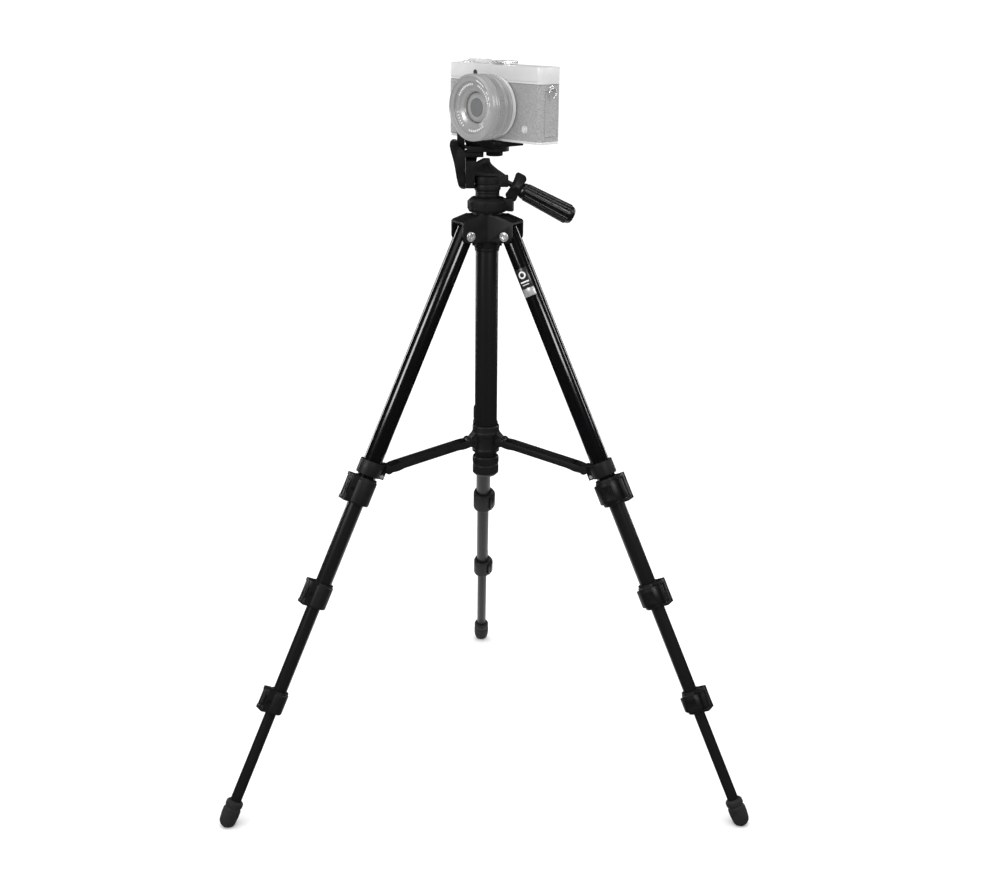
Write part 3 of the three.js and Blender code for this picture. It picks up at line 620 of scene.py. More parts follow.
# all soft boxes but the top one show only as reflections; the sky and the sun do the lighting
lamps = {
    "topPanel": {"at": (0.1, 0.3, 3.2), "size": (3.0, 3.0), "power": 14},
    "frontLeft": {"at": (-1.86, -1.6, 1.55), "size": (0.95, 1.0), "power": 44},
    "frontRight": {"at": (1.0, -2.1, 1.46), "size": (0.8, 0.55), "power": 20},
    "sideRight": {"at": (2.3, -0.4, 1.5), "size": (0.25, 1.2), "power": 12},
    "backLeft": {"at": (-1.88, 1.6, 0.84), "size": (0.45, 1.5), "power": 20},
    "backRight": {"at": (1.88, 1.6, 0.84), "size": (0.35, 1.5), "power": 14},
}
for lampName, lamp in lamps.items():
    data = bpy.data.lights.new(lampName, "AREA")
    data.shape = "RECTANGLE"
    data.size, data.size_y = lamp["size"]
    data.energy = lamp["power"]
    light = bpy.data.objects.new(lampName, data)
    bpy.context.scene.collection.objects.link(light)
    light.location = lamp["at"]
    light.visible_diffuse = lampName == "topPanel"
    aimed(light, Vector((0, 0, 0.4)) - Vector(lamp["at"]) + Vector((0, 1e-4, 0)))
daylight = bpy.data.lights.new("daylight", "SUN")
daylight.energy = 1.0
daylight.angle = math.radians(70)
sun = bpy.data.objects.new("daylight", daylight)
bpy.context.scene.collection.objects.link(sun)
aimed(sun, (0.15, 0.25, -1.0))

sky = bpy.data.worlds.new("paleSky")
sky.use_nodes = True
sky.node_tree.nodes["Background"].inputs["Color"].default_value = (1, 1, 1, 1)
sky.node_tree.nodes["Background"].inputs["Strength"].default_value = 1.0
bpy.context.scene.world = sky
sky.cycles_visibility.glossy = False
bpy.context.scene.view_settings.view_transform = "Standard"

floorPaint = nodeFinish("floorPaper", {
    "dark": (0.93, 0.93, 0.93), "light": (0.95, 0.95, 0.95), "gloss": (0.8, 0.9),
    "grain": 300, "bump": 0.02, "clouds": 3})


def sheet(name, x, y, height):
    mesh = bpy.data.meshes.new(name)
    mesh.from_pydata([(x[0], y[0], 0), (x[1], y[0], 0), (x[1], y[1], 0), (x[0], y[1], 0)], [],
                     [(0, 1, 2, 3)])
    mesh.materials.append(floorPaint)
    plane = bpy.data.objects.new(name, mesh)
    bpy.context.scene.collection.objects.link(plane)
    plane.location.z = height
    return plane


floor = sheet("studioFloor", (-250, 250), (-250, 250), -0.0004)
floor.visible_glossy = False
# a patch of the floor that the rear leg mirrors
patch = sheet("floorPatch", (-0.3, 0.3), (-0.1, 0.9), -0.0003)
patch.visible_camera = patch.visible_diffuse = patch.visible_shadow = False
print("camera, light and floor set")

# legs: in a leg's frame the bolt is the origin, the leg runs down -Z and +X is outside

tubes = [
    {"radius": 9.35, "start": -8, "end": 281.7, "lock": 12.5, "height": 27},
    {"radius": 8.05, "start": 118, "end": 391.7, "lock": 11.2, "height": 25},
    {"radius": 6.75, "start": 226, "end": 504.7, "lock": 10, "height": 22.5},
    {"radius": 5.45, "start": 332, "end": 612, "lock": None, "height": 0},
]
tubeWall = 0.85
hingeBlock = {"inner": 3, "outer": 5.4, "front": -1.2, "back": 6.6, "ears": -7.2,
              "margin": 3.5, "gap": 0.35, "pin": 1.2, "barrel": 2.6, "pinY": -4.2}


def lockShell(tube):
    # a collar with a thin upper lip, a split boss and two hinge ears
    radius, low = tube["lock"], -tube["end"]
    high = low + tube["height"]
    bore = tube["radius"] - 0.05
    outline = softCorners([
        (bore, low), (radius - 0.5, low), (radius, low + 1.4), (radius, high - 2.6),
        (radius - 0.9, high - 2.1), (radius - 0.9, high), (bore, high)], 0.5, 2)
    collar = turned(outline, 64, ring=True)
    b = hingeBlock
    x = (radius - b["inner"], radius + b["outer"])
    boss = slab(softCorners(
        [(x[0], b["front"], 0), (x[1], b["front"], 1.2), (x[1], b["back"], 1.8),
         (x[0] - 2, b["back"], 0)], 1, 4), low, high)
    ears = []
    for z in ((low, low + b["margin"] - b["gap"]), (high - b["margin"] + b["gap"], high)):
        ears.append(slab(softCorners(
            [(x[0], b["ears"], 0.6), (x[1], b["ears"], 2.4), (x[1], 0, 0), (x[0], 0, 0)],
            1, 5), *z))
    whole = fused(collar, boss, *ears)
    middle = (low + high) / 2
    slit = brick((radius - 4.5, x[1] + 1), (2.5, 3.3), (low - 1, high + 1))
    window = roundBrick((x[1] - 2.4, x[1] + 1), (3.9, 6.2),
                        (middle - tube["height"] * 0.24, middle + tube["height"] * 0.24), 0.5)
    hollow = puck(tube["radius"] + 0.02, low - 1, high + 1, 0)
    return carved(whole, [slit, window, hollow])


def leverShell(tube):
    # a curved flap with a raised rounded face, a thumb lip at its tip and a hinge barrel
    radius, b = tube["lock"], hingeBlock
    low = -tube["end"] + b["margin"]
    high = -tube["end"] + tube["height"] - b["margin"]
    inner = radius + 0.5
    skin = slab(bandOutline(inner, inner + 1.5, -0.2, -2.38, 26), low, high)
    face = slab(bandOutline(inner + 1, inner + 2.3, -0.62, -2.2, 22), low + 1.5, high - 1.5)
    lip = slab(bandOutline(inner, inner + 2.1, -2.26, -2.45, 4), low + 0.6, high - 0.6)
    barrel = moved(puck(b["barrel"], low, high, 0.3, 28),
                   shift(radius + b["barrel"], b["pinY"], 0))
    flap = fused(skin, face, lip, barrel)
    recess = slab(bandOutline(inner + 1.75, inner + 4, -1.0, -1.78, 12), low + 4.2, high - 4.2)
    return carved(flap, [recess])


def lockPieces(side, number, tube, body, place):
    name = f"{number}_{side}"
    b = hingeBlock
    low = -tube["end"]
    height = tube["height"]
    radius = tube["lock"]
    middle = low + height / 2
    leverBody = f"flip_lock_{number}_{side}"
    made(f"lockShell_{name}", lockShell(tube), finishes["mattePlastic"], body,
         place, bevel=0.35)
    made(f"lockFlap_{name}", leverShell(tube), finishes["leverPlastic"], leverBody,
         place, bevel=0.4, replaces=[f"lever_{number}_{side}"])
    pinLow, pinHigh = low + 0.5, low + height - 0.5
    made(f"lockPin_{name}",
         moved(puck(b["pin"], pinLow, pinHigh, 0.3, 20),
               shift(radius + b["barrel"], b["pinY"], 0)),
         finishes["boltSteel"], leverBody, place)
    # ribs moulded into the flap's face, standing along the leg
    ribs(f"flapRibs_{name}", leverBody, place @ shift(0, 0, middle),
         "leverPlastic", 5, radius + 2.3, 0.45, height - 16,
         start=-1.68, sweep=0.75)
    # the clamp screw in the boss, seen from the outside of the split
    seat = place @ shift(radius + 1.2, b["back"] - 0.05, middle) @ turnX(-90)
    screws(f"lockScrew_{name}", body, seat, 1, 0.0, 1.9, 0.9, "blackSteel")


footSizes = {"radius": 8.6, "top": -600.6, "waist": 0.75, "dome": -621, "domeSteps": 9,
             "treadAt": -613.6, "treads": 22, "treadLength": 7}


def footShape():
    # a rounded rubber foot with a lip and a waist, cut level with the ground
    f = footSizes
    radius, top = f["radius"], f["top"]
    outline = [(0, top), (radius - 1.4, top), (radius, top - 1.8), (radius, top - 5.6),
               (radius - f["waist"], top - 6.4), (radius - f["waist"], top - 7.8),
               (radius, top - 8.6), (radius, top - 17.9)]
    reach = radius - 0.25
    for i in range(f["domeSteps"] + 1):
        a = math.pi / 2 * i / f["domeSteps"]
        outline.append((reach * math.cos(a) if i < f["domeSteps"] else 0,
                        f["dome"] - reach * math.sin(a)))
    shape = turned(softCorners(outline, 0.5, 2, closed=False), 56)
    # the block's top face is the ground, seen from the leg's own frame
    ground = moved(brick((150, 400), (-60, 60), (-120, 0)),
                   turnY(stance["spread"]) @ shift(0, 0, -stance["hingeHeight"]))
    return carved(shape, [ground])


clampSizes = {"radius": 12, "inner": 9.45, "bore": 9.42, "low": -251.8, "high": -237.4,
              "block": -16.5, "blockInner": -10.2, "blockHalf": 4.5, "pivotX": -17.6,
              "pivotZ": -240, "eye": 4.4, "eyeHalf": 4, "hole": 1.85}


def clampShape():
    # ring round the upper tube with a screw block and the brace's ear on the inner side
    c = clampSizes
    x, z, half = c["pivotX"], c["pivotZ"], c["eyeHalf"]
    ring = turned(softCorners([(c["inner"], c["low"]), (c["radius"], c["low"]),
                               (c["radius"], c["high"]), (c["inner"], c["high"])], 0.7, 3),
                  64, ring=True)
    block = brick((c["block"], c["blockInner"]), (-c["blockHalf"], c["blockHalf"]),
                  (c["low"], c["high"]))
    eye = acrossY(c["eye"], x, z, -half, half, 40)
    web = sideSlab([(x - 1.5, z - 3.8), (c["blockInner"], z - c["eye"]),
                    (c["blockInner"], z + 2.4), (x + 1, z + c["eye"])], -half, half)
    bore = puck(c["bore"], c["low"] - 28.2, c["high"] + 27.4, 0)
    hole = acrossY(c["hole"], x, z, -9, 9, 24, 0)
    split = brick((x - 0.4, -8), (-0.5, 0.5), (c["low"] - 1.2, z - 5.4))
    return carved(fused(ring, block, eye, web), [bore, hole, split])


for side in azimuths:
    place = legFrame(side)
    for i, tube in enumerate(tubes):
        number = i + 1
        body = f"leg_{side}" if i == 0 else f"section_{number}_{side}"
        paint = "glossTube" if i == 0 else "satinTube"
        slotName = "upper_tube" if i == 0 else "lower_tube"
        low = -tube["end"] + (1.2 if tube["lock"] else 0)
        shape = pipe(tube["radius"], tube["radius"] - tubeWall, low, -tube["start"], 0.3, 64)
        if i == 0:
            plug = puck(tube["radius"] - 0.2, -tube["start"] - 12, -tube["start"], 1.2)
            made(f"tubePlug_{side}", plug, finishes["mattePlastic"], body, place)
        made(f"tube_{number}_skin_{side}", shape, finishes[paint], body, place,
             wrap=True, replaces=[f"tube_{number}_{side}"])
        if tube["lock"]:
            lockPieces(side, number, tube, body, place)
            # a wiper ring in painted shade where the next tube comes out of the lock: the shadowGap
            # finish is darker than the lock's plastic
            inner = tubes[i + 1]["radius"] + 0.12
            made(f"shadedLockBush_{number}_{side}",
                 pipe(tube["radius"] + 0.6, inner, -tube["end"], -tube["end"] + 4, 0.3),
                 finishes["shadowGap"], body, place)
    made(f"footPad_{side}", footShape(), finishes["footRubber"], f"section_4_{side}",
         place, bevel=0.25, replaces=[f"foot_{side}"])
    ribs(f"footTread_{side}", f"section_4_{side}",
         place @ shift(0, 0, footSizes["treadAt"]), "footRubber", footSizes["treads"],
         footSizes["radius"] - 0.18, 0.42, footSizes["treadLength"])
    made(f"braceClamp_{side}", clampShape(), finishes["mattePlastic"], f"leg_{side}",
         place, bevel=0.45, replaces=[f"brace_clamp_{side}"])
    for facing, turn in ((-1, 90), (1, -90)):
        seat = place @ shift(-13.4, facing * 4.6, -248.9) @ turnX(turn)
        screws(f"clampScrew_{side}_{'a' if facing < 0 else 'b'}", f"leg_{side}", seat,
               1, 0.0, 1.9, 0.9)
print("legs made")

boltSizes = {"radius": 2.5, "head": 4.6, "height": 2.4, "cheekOut": 12.1, "gap": 0.35}


def boltHead(direction):
    b = boltSizes
    outline = softCorners([(0, 0), (b["head"], 0), (b["head"], b["height"] - 0.7),
                           (b["head"] - 1.1, b["height"]), (0, b["height"])], 0.3, 3, closed=False)
    head = turned(outline, 40)
    bars = [brick(x, y, (1.0, 4)) for x, y in (((-2.6, 2.6), (-0.55, 0.55)),
                                               ((-0.55, 0.55), (-2.6, 2.6)))]
    cup = turned([(0, 1.5), (1.1, 2.0), (1.6, 3.0), (0, 3.0)], 24)
    head = carved(head, [*bars, cup])
    start = b["cheekOut"] + b["gap"]
    return moved(head, turnX(-90 * direction) @ shift(0, 0, start))


for side in azimuths:
    place = boltFrame(side)
    b = boltSizes
    shank = acrossY(b["radius"], 0, 0, -b["cheekOut"] - 1, b["cheekOut"] + 1, 32)
    made(f"hingeBolt_{side}", merge(shank, boltHead(1), boltHead(-1)), finishes["boltSteel"],
         "frame", place, bevel=0.12, replaces=[f"pivot_bolt_{side}"])
print("bolts made")

hubSizes = {"barrel": 14.2, "slot": 13.4, "bottom": 560, "roof": 580.5, "rise": 5, "plate": 2.6,
            "reach": 33.6, "inner": 10.0, "outer": 12.1, "neck": 12.7, "neckBottom": 552.5,
            "spigot": 14, "spigotTop": 596}


def hubShape():
    h = hubSizes
    parts = [
        puck(h["barrel"], h["bottom"], h["roof"] + h["rise"], 0.4, 72),
        puck(h["neck"], h["neckBottom"], h["bottom"] + 1, 0.6, 72),
        puck(h["spigot"], h["roof"], h["spigotTop"], 0.4, 72),
    ]
    slots = []
    for azimuth in azimuths.values():
        roof = sideSlab([
            (6, h["roof"]), (h["reach"], h["roof"] - h["plate"]),
            (h["reach"], h["roof"] - 0.6), (h["reach"] - 1.2, h["roof"] + 0.3),
            (h["reach"] * 0.55, h["roof"] + h["rise"] * 0.86),
            (h["reach"] * 0.45, h["roof"] + h["rise"]), (6, h["roof"] + h["rise"])],
            -h["outer"], h["outer"])
        cheekSide = softCorners([
            (6, h["bottom"], 0), (h["reach"] - 4, h["bottom"], 2.5),
            (h["reach"], h["bottom"] + 4, 2.5), (h["reach"], h["roof"] - 0.3, 0),
            (6, h["roof"] + 1, 0)], 1, 4)
        turn = turnZ(azimuth)
        cheeks = [sideSlab(cheekSide, -h["outer"], -h["inner"]),
                  sideSlab(cheekSide, h["inner"], h["outer"])]
        # a raised rim along each roof edge
        rims = [sideSlab([(16, h["roof"] + h["rise"] + 0.45), (18.4, h["roof"] + 4.85),
                          (h["reach"] - 1.4, h["roof"] + 0.75), (h["reach"] - 1.4, h["roof"] - 1),
                          (16, h["roof"] + 2)], y, y + 1.0)
                for y in (-h["outer"], h["outer"] - 1.0)]
        parts += [moved(p, turn) for p in (roof, *cheeks, *rims)]
        slots.append(moved(brick((h["slot"], 60), (-h["inner"], h["inner"]),
                                 (h["neckBottom"] - 2, h["roof"] - h["plate"])), turn))
        slots.append(moved(acrossY(boltSizes["radius"] + 0.3, stance["hingeRadius"],
                                   stance["hingeHeight"], -20, 20, 32, 0), turn))
    whole = fused(*parts)
    slots.append(puck(11.6, h["neckBottom"] - 1, 574.35, 0, 64))
    slots.append(puck(9.85, 570, h["spigotTop"] + 1, 0, 64))
    return carved(whole, slots)


made("hubCasting", hubShape(), finishes["mattePlastic"], "frame",
     bevel=0.4, replaces=["hub"])
# small keys under the barrel, between the arms, and a clip ring round the sleeve
for i, azimuth in enumerate((270, 30, 150)):
    key = brick((11.9, 14.6), (-1.7, 1.7), (554.2, 560.4))
    for offset in (-32, 32):
        made(f"hubKey_{i}_{'a' if offset < 0 else 'b'}",
             moved(key.copy(), turnZ(azimuth + offset)), finishes["mattePlastic"], "frame",
             bevel=0.4)
    key.free()
made("hubClip", pipe(12.2, 11.35, 549.6, 552.3, 0.4), finishes["mattePlastic"], "frame")
print("hub made")

# centre sleeve with its cap, and the column that slides in it
made("centreSleeve", pipe(11.25, 9.95, 322.5, 574, 0.3, 72), finishes["sleeveTube"], "frame",
     wrap=True, replaces=["centre_sleeve"])
made("sleeveCapShell", turned(softCorners([
    (0, 318), (10.2, 318), (13.2, 321), (13.2, 329.2), (12.75, 329.8), (12.75, 330.6),
    (13.2, 331.2), (13.2, 337.8), (12.4, 339), (11.3, 339), (11.3, 323), (0, 323)],
    0.5, 2, closed=False), 64), finishes["mattePlastic"], "frame",
    replaces=["sleeve_cap"])
ribs("capFlutes", "frame", standing @ shift(0, 0, 334.5), "mattePlastic", 36,
     13.05, 0.32, 5.2)
made("centreColumn", pipe(9.5, 8.3, 345, 605.6, 0.3, 64), finishes["satinTube"],
     "centre_column", wrap=True, replaces=["centre_column"])

ringSizes = {"radius": 19.5, "low": 587.8, "high": 601.6, "bore": 10.2, "recess": 14.35}


def lockRingShape():
    r = ringSizes
    body = turned(softCorners([
        (r["bore"], 596.35), (r["recess"], 596.35), (r["recess"], r["low"]),
        (r["radius"] - 1.6, r["low"]), (r["radius"] - 0.5, r["low"] + 2.4),
        (r["radius"] - 0.5, r["high"] - 3.4), (r["radius"] - 3.9, r["high"]),
        (r["bore"], r["high"])], 0.4, 2), 96, ring=True)
    scallops = [moved(puck(2.0, r["low"] - 2, r["low"] + 1.3, 0, 20),
                      turnZ(i * 20) @ shift(r["radius"] + 0.4, 0, 0)) for i in range(18)]
    lug = moved(roundBrick((10.5, r["radius"] + 6.2), (-4.5, 4.5),
                           (r["low"] + 1, r["high"] - 0.8), 1.5), turnZ(-12))
    return carved(fused(body, lug), scallops + [puck(r["recess"], r["low"] - 1, 596.3, 0, 64)])


made("columnRing", lockRingShape(), finishes["mattePlastic"], "column_lock_ring",
     bevel=0.35, replaces=["column_lock_ring"])
ribs("columnRingRibs", "column_lock_ring", standing @ shift(0, 0, 594.4),
     "mattePlastic", 36, ringSizes["radius"] - 0.55, 0.55, 7.2)
print("column and ring made")

# the brace: a sliding collar and three channel arms
braceSizes = {"along": 240, "inset": 17.6, "collarRadius": 19, "collarHeight": 356,
              "half": 7, "wall": 1.7, "top": 3.5, "bottom": 4, "tip": 4.4, "fork": 14.5,
              "bore": 11.6, "hole": 1.85, "lugHalf": 4}


def collarShape():
    b = braceSizes
    bore, reach, height, half = b["bore"], b["collarRadius"], b["collarHeight"], b["lugHalf"]
    body = turned(softCorners([(bore, 344), (13.8, 344), (13.8, 346.4), (13.2, 347), (13.2, 360),
                               (14.2, 361.5), (14.2, 364.4), (13.6, 365), (13.6, 370.4),
                               (12.9, 371.5), (bore, 371.5)], 0.4, 2), 72, ring=True)
    lugs = []
    for azimuth in azimuths.values():
        lug = sideSlab([(bore + 0.6, height - 8), (reach, height - b["tip"]),
                        (reach, height + b["tip"]), (14.8, height + 8.5),
                        (bore + 0.6, height + 10.5)], -half, half)
        eye = acrossY(b["tip"], reach, height, -half, half, 40)
        lugs += [moved(lug, turnZ(azimuth)), moved(eye, turnZ(azimuth))]
    holes = [moved(acrossY(b["hole"], reach, height, -6, 6, 24, 0), turnZ(a))
             for a in azimuths.values()]
    holes.append(puck(bore, 343, 373, 0, 72))
    return carved(fused(body, *lugs), holes)


made("braceCollar", collarShape(), finishes["mattePlastic"], "brace_collar",
     bevel=0.4, replaces=["brace_collar"])

# the arm's outer pivot on the leg clamp, seen from its inner pivot on the collar
lean = math.radians(stance["spread"])
outward = stance["hingeRadius"] - braceSizes["collarRadius"] \
    + braceSizes["along"] * math.sin(lean) - braceSizes["inset"] * math.cos(lean)
upward = stance["hingeHeight"] - braceSizes["collarHeight"] \
    - braceSizes["along"] * math.cos(lean) - braceSizes["inset"] * math.sin(lean)
armRun = math.hypot(outward, upward)
armRise = math.degrees(math.atan2(upward, outward))


def armShape():
    # an inverted channel with forked, rounded ends and a pressed rib along its back
    b = braceSizes
    half, inside = b["half"], b["half"] - b["wall"]
    side = softCorners([
        (0, b["top"] * 0.7, 0), (b["fork"] * 0.6, b["top"]), (armRun - b["fork"] * 0.6, b["top"]),
        (armRun, b["top"] * 0.7, 0), (armRun, -b["bottom"] * 0.8, 0),
        (armRun - b["fork"] * 0.7, -b["bottom"]), (armRun - b["fork"] * 1.15, -b["bottom"] + 1.1),
        (b["fork"] * 1.15, -b["bottom"] + 1.1), (b["fork"] * 0.7, -b["bottom"]),
        (0, -b["bottom"] * 0.8, 0)], 2.5, 4)
    whole = fused(sideSlab(side, -half, half), acrossY(b["tip"], 0, 0, -half, half, 40),
                  acrossY(b["tip"], armRun, 0, -half, half, 40))
    channel = brick((-20, armRun + 20), (-inside, inside), (-20, b["top"] - b["wall"]))
    innerGap = brick((-20, b["fork"] - 2), (-inside, inside), (-20, 20))
    outerGap = brick((armRun - b["fork"], armRun + 20), (-inside, inside), (-20, 20))
    groove = roundBrick((b["fork"] + 4, armRun - b["fork"] - 4), (-2.6, 2.6),
                        (b["top"] - 0.5, b["top"] + 2), 2.2)
    return carved(whole, [channel, innerGap, outerGap, groove])


for side, azimuth in azimuths.items():
    place = standing @ turnZ(azimuth) \
        @ shift(braceSizes["collarRadius"], 0, braceSizes["collarHeight"]) @ turnY(-armRise)
    made(f"braceArm_{side}", armShape(), finishes["mattePlastic"], f"arm_{side}",
         place, bevel=0.35, replaces=[f"brace_arm_{side}"])
    made(f"armPin_{side}", acrossY(1.5, 0, 0, -7.2, 7.2, 24), finishes["leverPlastic"],
         f"arm_{side}", place)
print("brace made")

# the pan and tilt head

headSizes = {"panRadius": 12.9, "panLow": 608.45, "panTop": 622.4,
             "wallInner": -21.35, "tiltHeight": 618}

made("headBase", turned(softCorners([
    (9.85, 602), (11.8, 602), (11.8, 604.6), (11.4, 605), (11.4, 605.5), (11.8, 605.9),
    (11.8, 608.1), (5, 608.1), (5, 614), (0, 614), (0, 605.95), (9.85, 605.95)], 0.3, 2,
    closed=False)[:-1] + [(9.85, 605.95)], 64, ring=True),
    finishes["mattePlastic"], "centre_column", replaces=["head_base"])


def handlePlace():
    return shift(15, 0, 617.8) @ turnY(27) @ turnY(90)


def panShape():
    h = headSizes
    body = turned(softCorners([
        (0, h["panLow"]), (h["panRadius"] - 0.5, h["panLow"]), (h["panRadius"], h["panLow"] + 1),
        (h["panRadius"], 613.2), (h["panRadius"] - 0.5, 613.7), (h["panRadius"] - 0.5, 614.4),
        (h["panRadius"], 614.9), (h["panRadius"], h["panTop"] - 1),
        (h["panRadius"] - 1, h["panTop"]), (0, h["panTop"])], 0.3, 2, closed=False), 72)
    web = sideSlab(softCorners([
        (h["wallInner"] + 2, 615, 0), (h["wallInner"] + 2, 630, 0), (-7, 637.1, 1.2),
        (-4, 638.6, 1), (2, 638.6, 1.2), (3, 633.6, 2.5), (9, 628.4, 4), (18, 622.4, 2),
        (18, 615, 0)], 1, 5), -4.5, 4.5)
    wall = sideSlab(softCorners([
        (h["wallInner"], 611, 0), (-12.6, 611, 0), (-12.6, 630, 4), (-10, 640.5, 1),
        (h["wallInner"], 640.5, 0)], 1.2, 4), -11, 11)
    wall = carved(wall, [acrossX(22, 0, h["tiltHeight"], -30, 0, 64, 0)], "INTERSECT")
    lug = brick((8, 20), (-7, 7), (612, h["panTop"]))
    spigotHole = puck(5.35, 600, 614.35, 0, 32)
    axleHole = acrossX(4.35, 0, h["tiltHeight"], -25, -13.5, 32, 0)
    rodHole = moved(puck(2.95, 0, 24, 0, 24), handlePlace())
    pocket = [sideSlab([(-9, 625), (-4.6, 633.4), (0.4, 633.4), (4.6, 625)], y, y + 3)
              for y in (-5.9, 2.9)]
    return carved(fused(body, web, wall, lug), [spigotHole, axleHole, rodHole, *pocket])


made("panBody", panShape(), finishes["mattePlastic"], "pan", bevel=0.5,
     replaces=["pan_body"])

flipSizes = {"x": -32.4, "z": 651.6, "radius": 4.2, "half": 11, "middle": 5.4, "pin": 1.7,
             "inner": -21.4, "foot": 9, "outer": -32, "shelf": 5, "shelfEnd": -4,
             "shelfTop": 645.65}


def bracketShape():
    f = flipSizes
    z = headSizes["tiltHeight"]
    side = sideSlab(softCorners([
        (f["inner"], z - f["foot"], 1), (f["inner"], f["z"] - 6, 0),
        (f["x"] + f["radius"], f["z"], 0), (f["x"], f["z"] + f["radius"] - 0.2, 0),
        (f["x"] - f["radius"] + 0.2, f["z"] - 2, 2), (f["outer"], z + 16, 8),
        (f["inner"] - 8.5, z + 2, 6), (f["inner"] - 6.4, z - f["foot"] + 3, 4),
        (f["inner"] - 3, z - f["foot"], 3)], 1, 5), -f["half"], f["half"])
    face = fused(acrossX(f["foot"], 0, z, -60, 0, 48, 0),
                 brick((-60, 0), (-f["foot"], f["foot"]), (z, z + 10)),
                 brick((-60, 0), (-f["half"], f["half"]), (z + 9, f["z"] + 20)))
    arm = carved(side, [face], "INTERSECT")
    knuckle = acrossY(f["radius"], f["x"], f["z"], -f["half"], f["half"], 40)
    gap = f["middle"] + 0.35
    throat = brick((f["x"] - 8, f["inner"] + 1), (-gap, gap),
                   (f["z"] - f["radius"] - 1.6, f["z"] + 10))
    slotCut = sideSlab([(f["inner"] - 12, z + 3), (f["inner"] - 6.2, z + 3),
                        (f["outer"] + 1.4, z + 21), (f["outer"] - 4, z + 21)], -4.5, 4.5)
    shape = carved(fused(arm, knuckle), [throat, slotCut])
    axle = acrossX(4, 0, z, f["inner"] - 1, -14.5, 32)
    shelf = slab(softCorners([(f["inner"] - 2, -f["half"], 0), (f["shelfEnd"], -f["half"], 5),
                              (f["shelfEnd"], f["half"], 5), (f["inner"] - 2, f["half"], 0)],
                             1, 5), f["shelfTop"] - f["shelf"], f["shelfTop"])
    return fused(shape, axle, shelf)


made("tiltBracket", bracketShape(), finishes["mattePlastic"], "tilt",
     bevel=0.6, replaces=["tilt_bracket"])
made("flipPin", acrossY(flipSizes["pin"], flipSizes["x"], flipSizes["z"], -11.3, 11.3, 24),
     finishes["leverPlastic"], "tilt")


platformSizes = {"left": -20.4, "middle": 5.5, "half": 15, "low": 646, "high": 651,
                 "lip": 662, "screwX": 6.5, "screwHole": 3.45}


def platformShape():
    f, d = flipSizes, platformSizes
    outline = [(d["left"], -d["half"])]
    outline += [(d["middle"] + d["half"] * math.cos(a), d["half"] * math.sin(a))
                for a in (-math.pi / 2 + math.pi * i / 20 for i in range(21))]
    outline.append((d["left"], d["half"]))
    deck = slab(outline, d["low"], d["high"])
    knuckle = acrossY(f["radius"], f["x"], f["z"], -f["middle"], f["middle"], 40)
    tongue = brick((f["x"], d["left"] + 1), (-f["middle"], f["middle"]), (648, d["high"]))
    lip = roundBrick((f["x"] + 2.8, f["x"] + 10.2), (-f["middle"], f["middle"]),
                     (648, d["lip"]), 0.6)
    holes = [acrossY(f["pin"] + 0.35, f["x"], f["z"], -20, 20, 24, 0),
             moved(puck(d["screwHole"], 640, 655, 0, 32), shift(d["screwX"], 0, 0))]
    for y in (-9.4, 9.4):
        holes.append(roundBrick((-17, -6), (y - 3.2, y + 3.2), (640, 648.4), 1.5))
    return carved(fused(deck, knuckle, tongue, lip), holes)


made("platformDeck", platformShape(), finishes["mattePlastic"], "platform",
     bevel=0.5, replaces=["platform"])

cameraTurn = -48
screwPlace = standing @ shift(platformSizes["screwX"], 0, 0)
platePlace = screwPlace @ turnZ(cameraTurn)
plateSizes = {"half": 22, "foot": 20.5, "low": 651.35, "step": 653.5, "top": 656.6,
              "corks": 9, "corkPitch": 4.5, "corkHalf": 1.4}


def plateShape():
    p = plateSizes
    foot, half = (-p["foot"], p["foot"]), (-p["half"], p["half"])
    low = roundBrick(foot, foot, (p["low"], p["step"] + 2), 3.5)
    high = roundBrick(half, half, (p["step"], p["top"]), 4)
    lipRoom = moved(brick((-32.4, -22.1), (-5.8, 5.8), (650, 660)),
                    turnZ(-cameraTurn) @ shift(-platformSizes["screwX"], 0, 0))
    hole = puck(platformSizes["screwHole"], 650, 660, 0, 32)
    return carved(fused(low, high), [hole, lipRoom])


made("releasePlate", plateShape(), finishes["leverPlastic"], "platform",
     platePlace, bevel=0.45, replaces=["quick_release_plate"])
# strips of soft cork on the plate, kept clear of the screw and of the lip
for i in range(plateSizes["corks"]):
    y = (i - plateSizes["corks"] // 2) * plateSizes["corkPitch"]
    reach = 19.5 if abs(y) > 4 else 20.5
    strip = roundBrick((-reach + (9 if y > 3 else 0), reach),
                       (y - plateSizes["corkHalf"], y + plateSizes["corkHalf"]),
                       (plateSizes["top"] - 0.2, plateSizes["top"] + 0.5), 0.8)
    strip = carved(strip, [puck(4.4, 650, 660, 0, 32)])
    made(f"plateCork_{i}", strip, finishes["footRubber"], "platform",
         platePlace)
made("cameraScrew", fused(
    turned(softCorners([(0, 641.2), (7.4, 641.2), (7.7, 641.9), (7.7, 645), (7.2, 645.6),
                        (0, 645.6)], 0.4, 2, closed=False), 56),
    puck(3.1, 645, 663, 0.4, 32)), finishes["leverPlastic"], "camera_screw",
    screwPlace, replaces=["camera_screw"])
ribs("cameraScrewKnurl", "camera_screw", screwPlace @ shift(0, 0, 643.4),
     "leverPlastic", 40, 7.62, 0.45, 3.4)

# the pan handle, made along its own Z
handleFrame = standing @ handlePlace()
gripSizes = {"start": 19.3, "end": 77, "thin": 8.7, "thick": 10, "bore": 2.95,
             "boreEnd": 62.35, "rod": 2.6, "rodLow": 1.5, "rodEnd": 62}


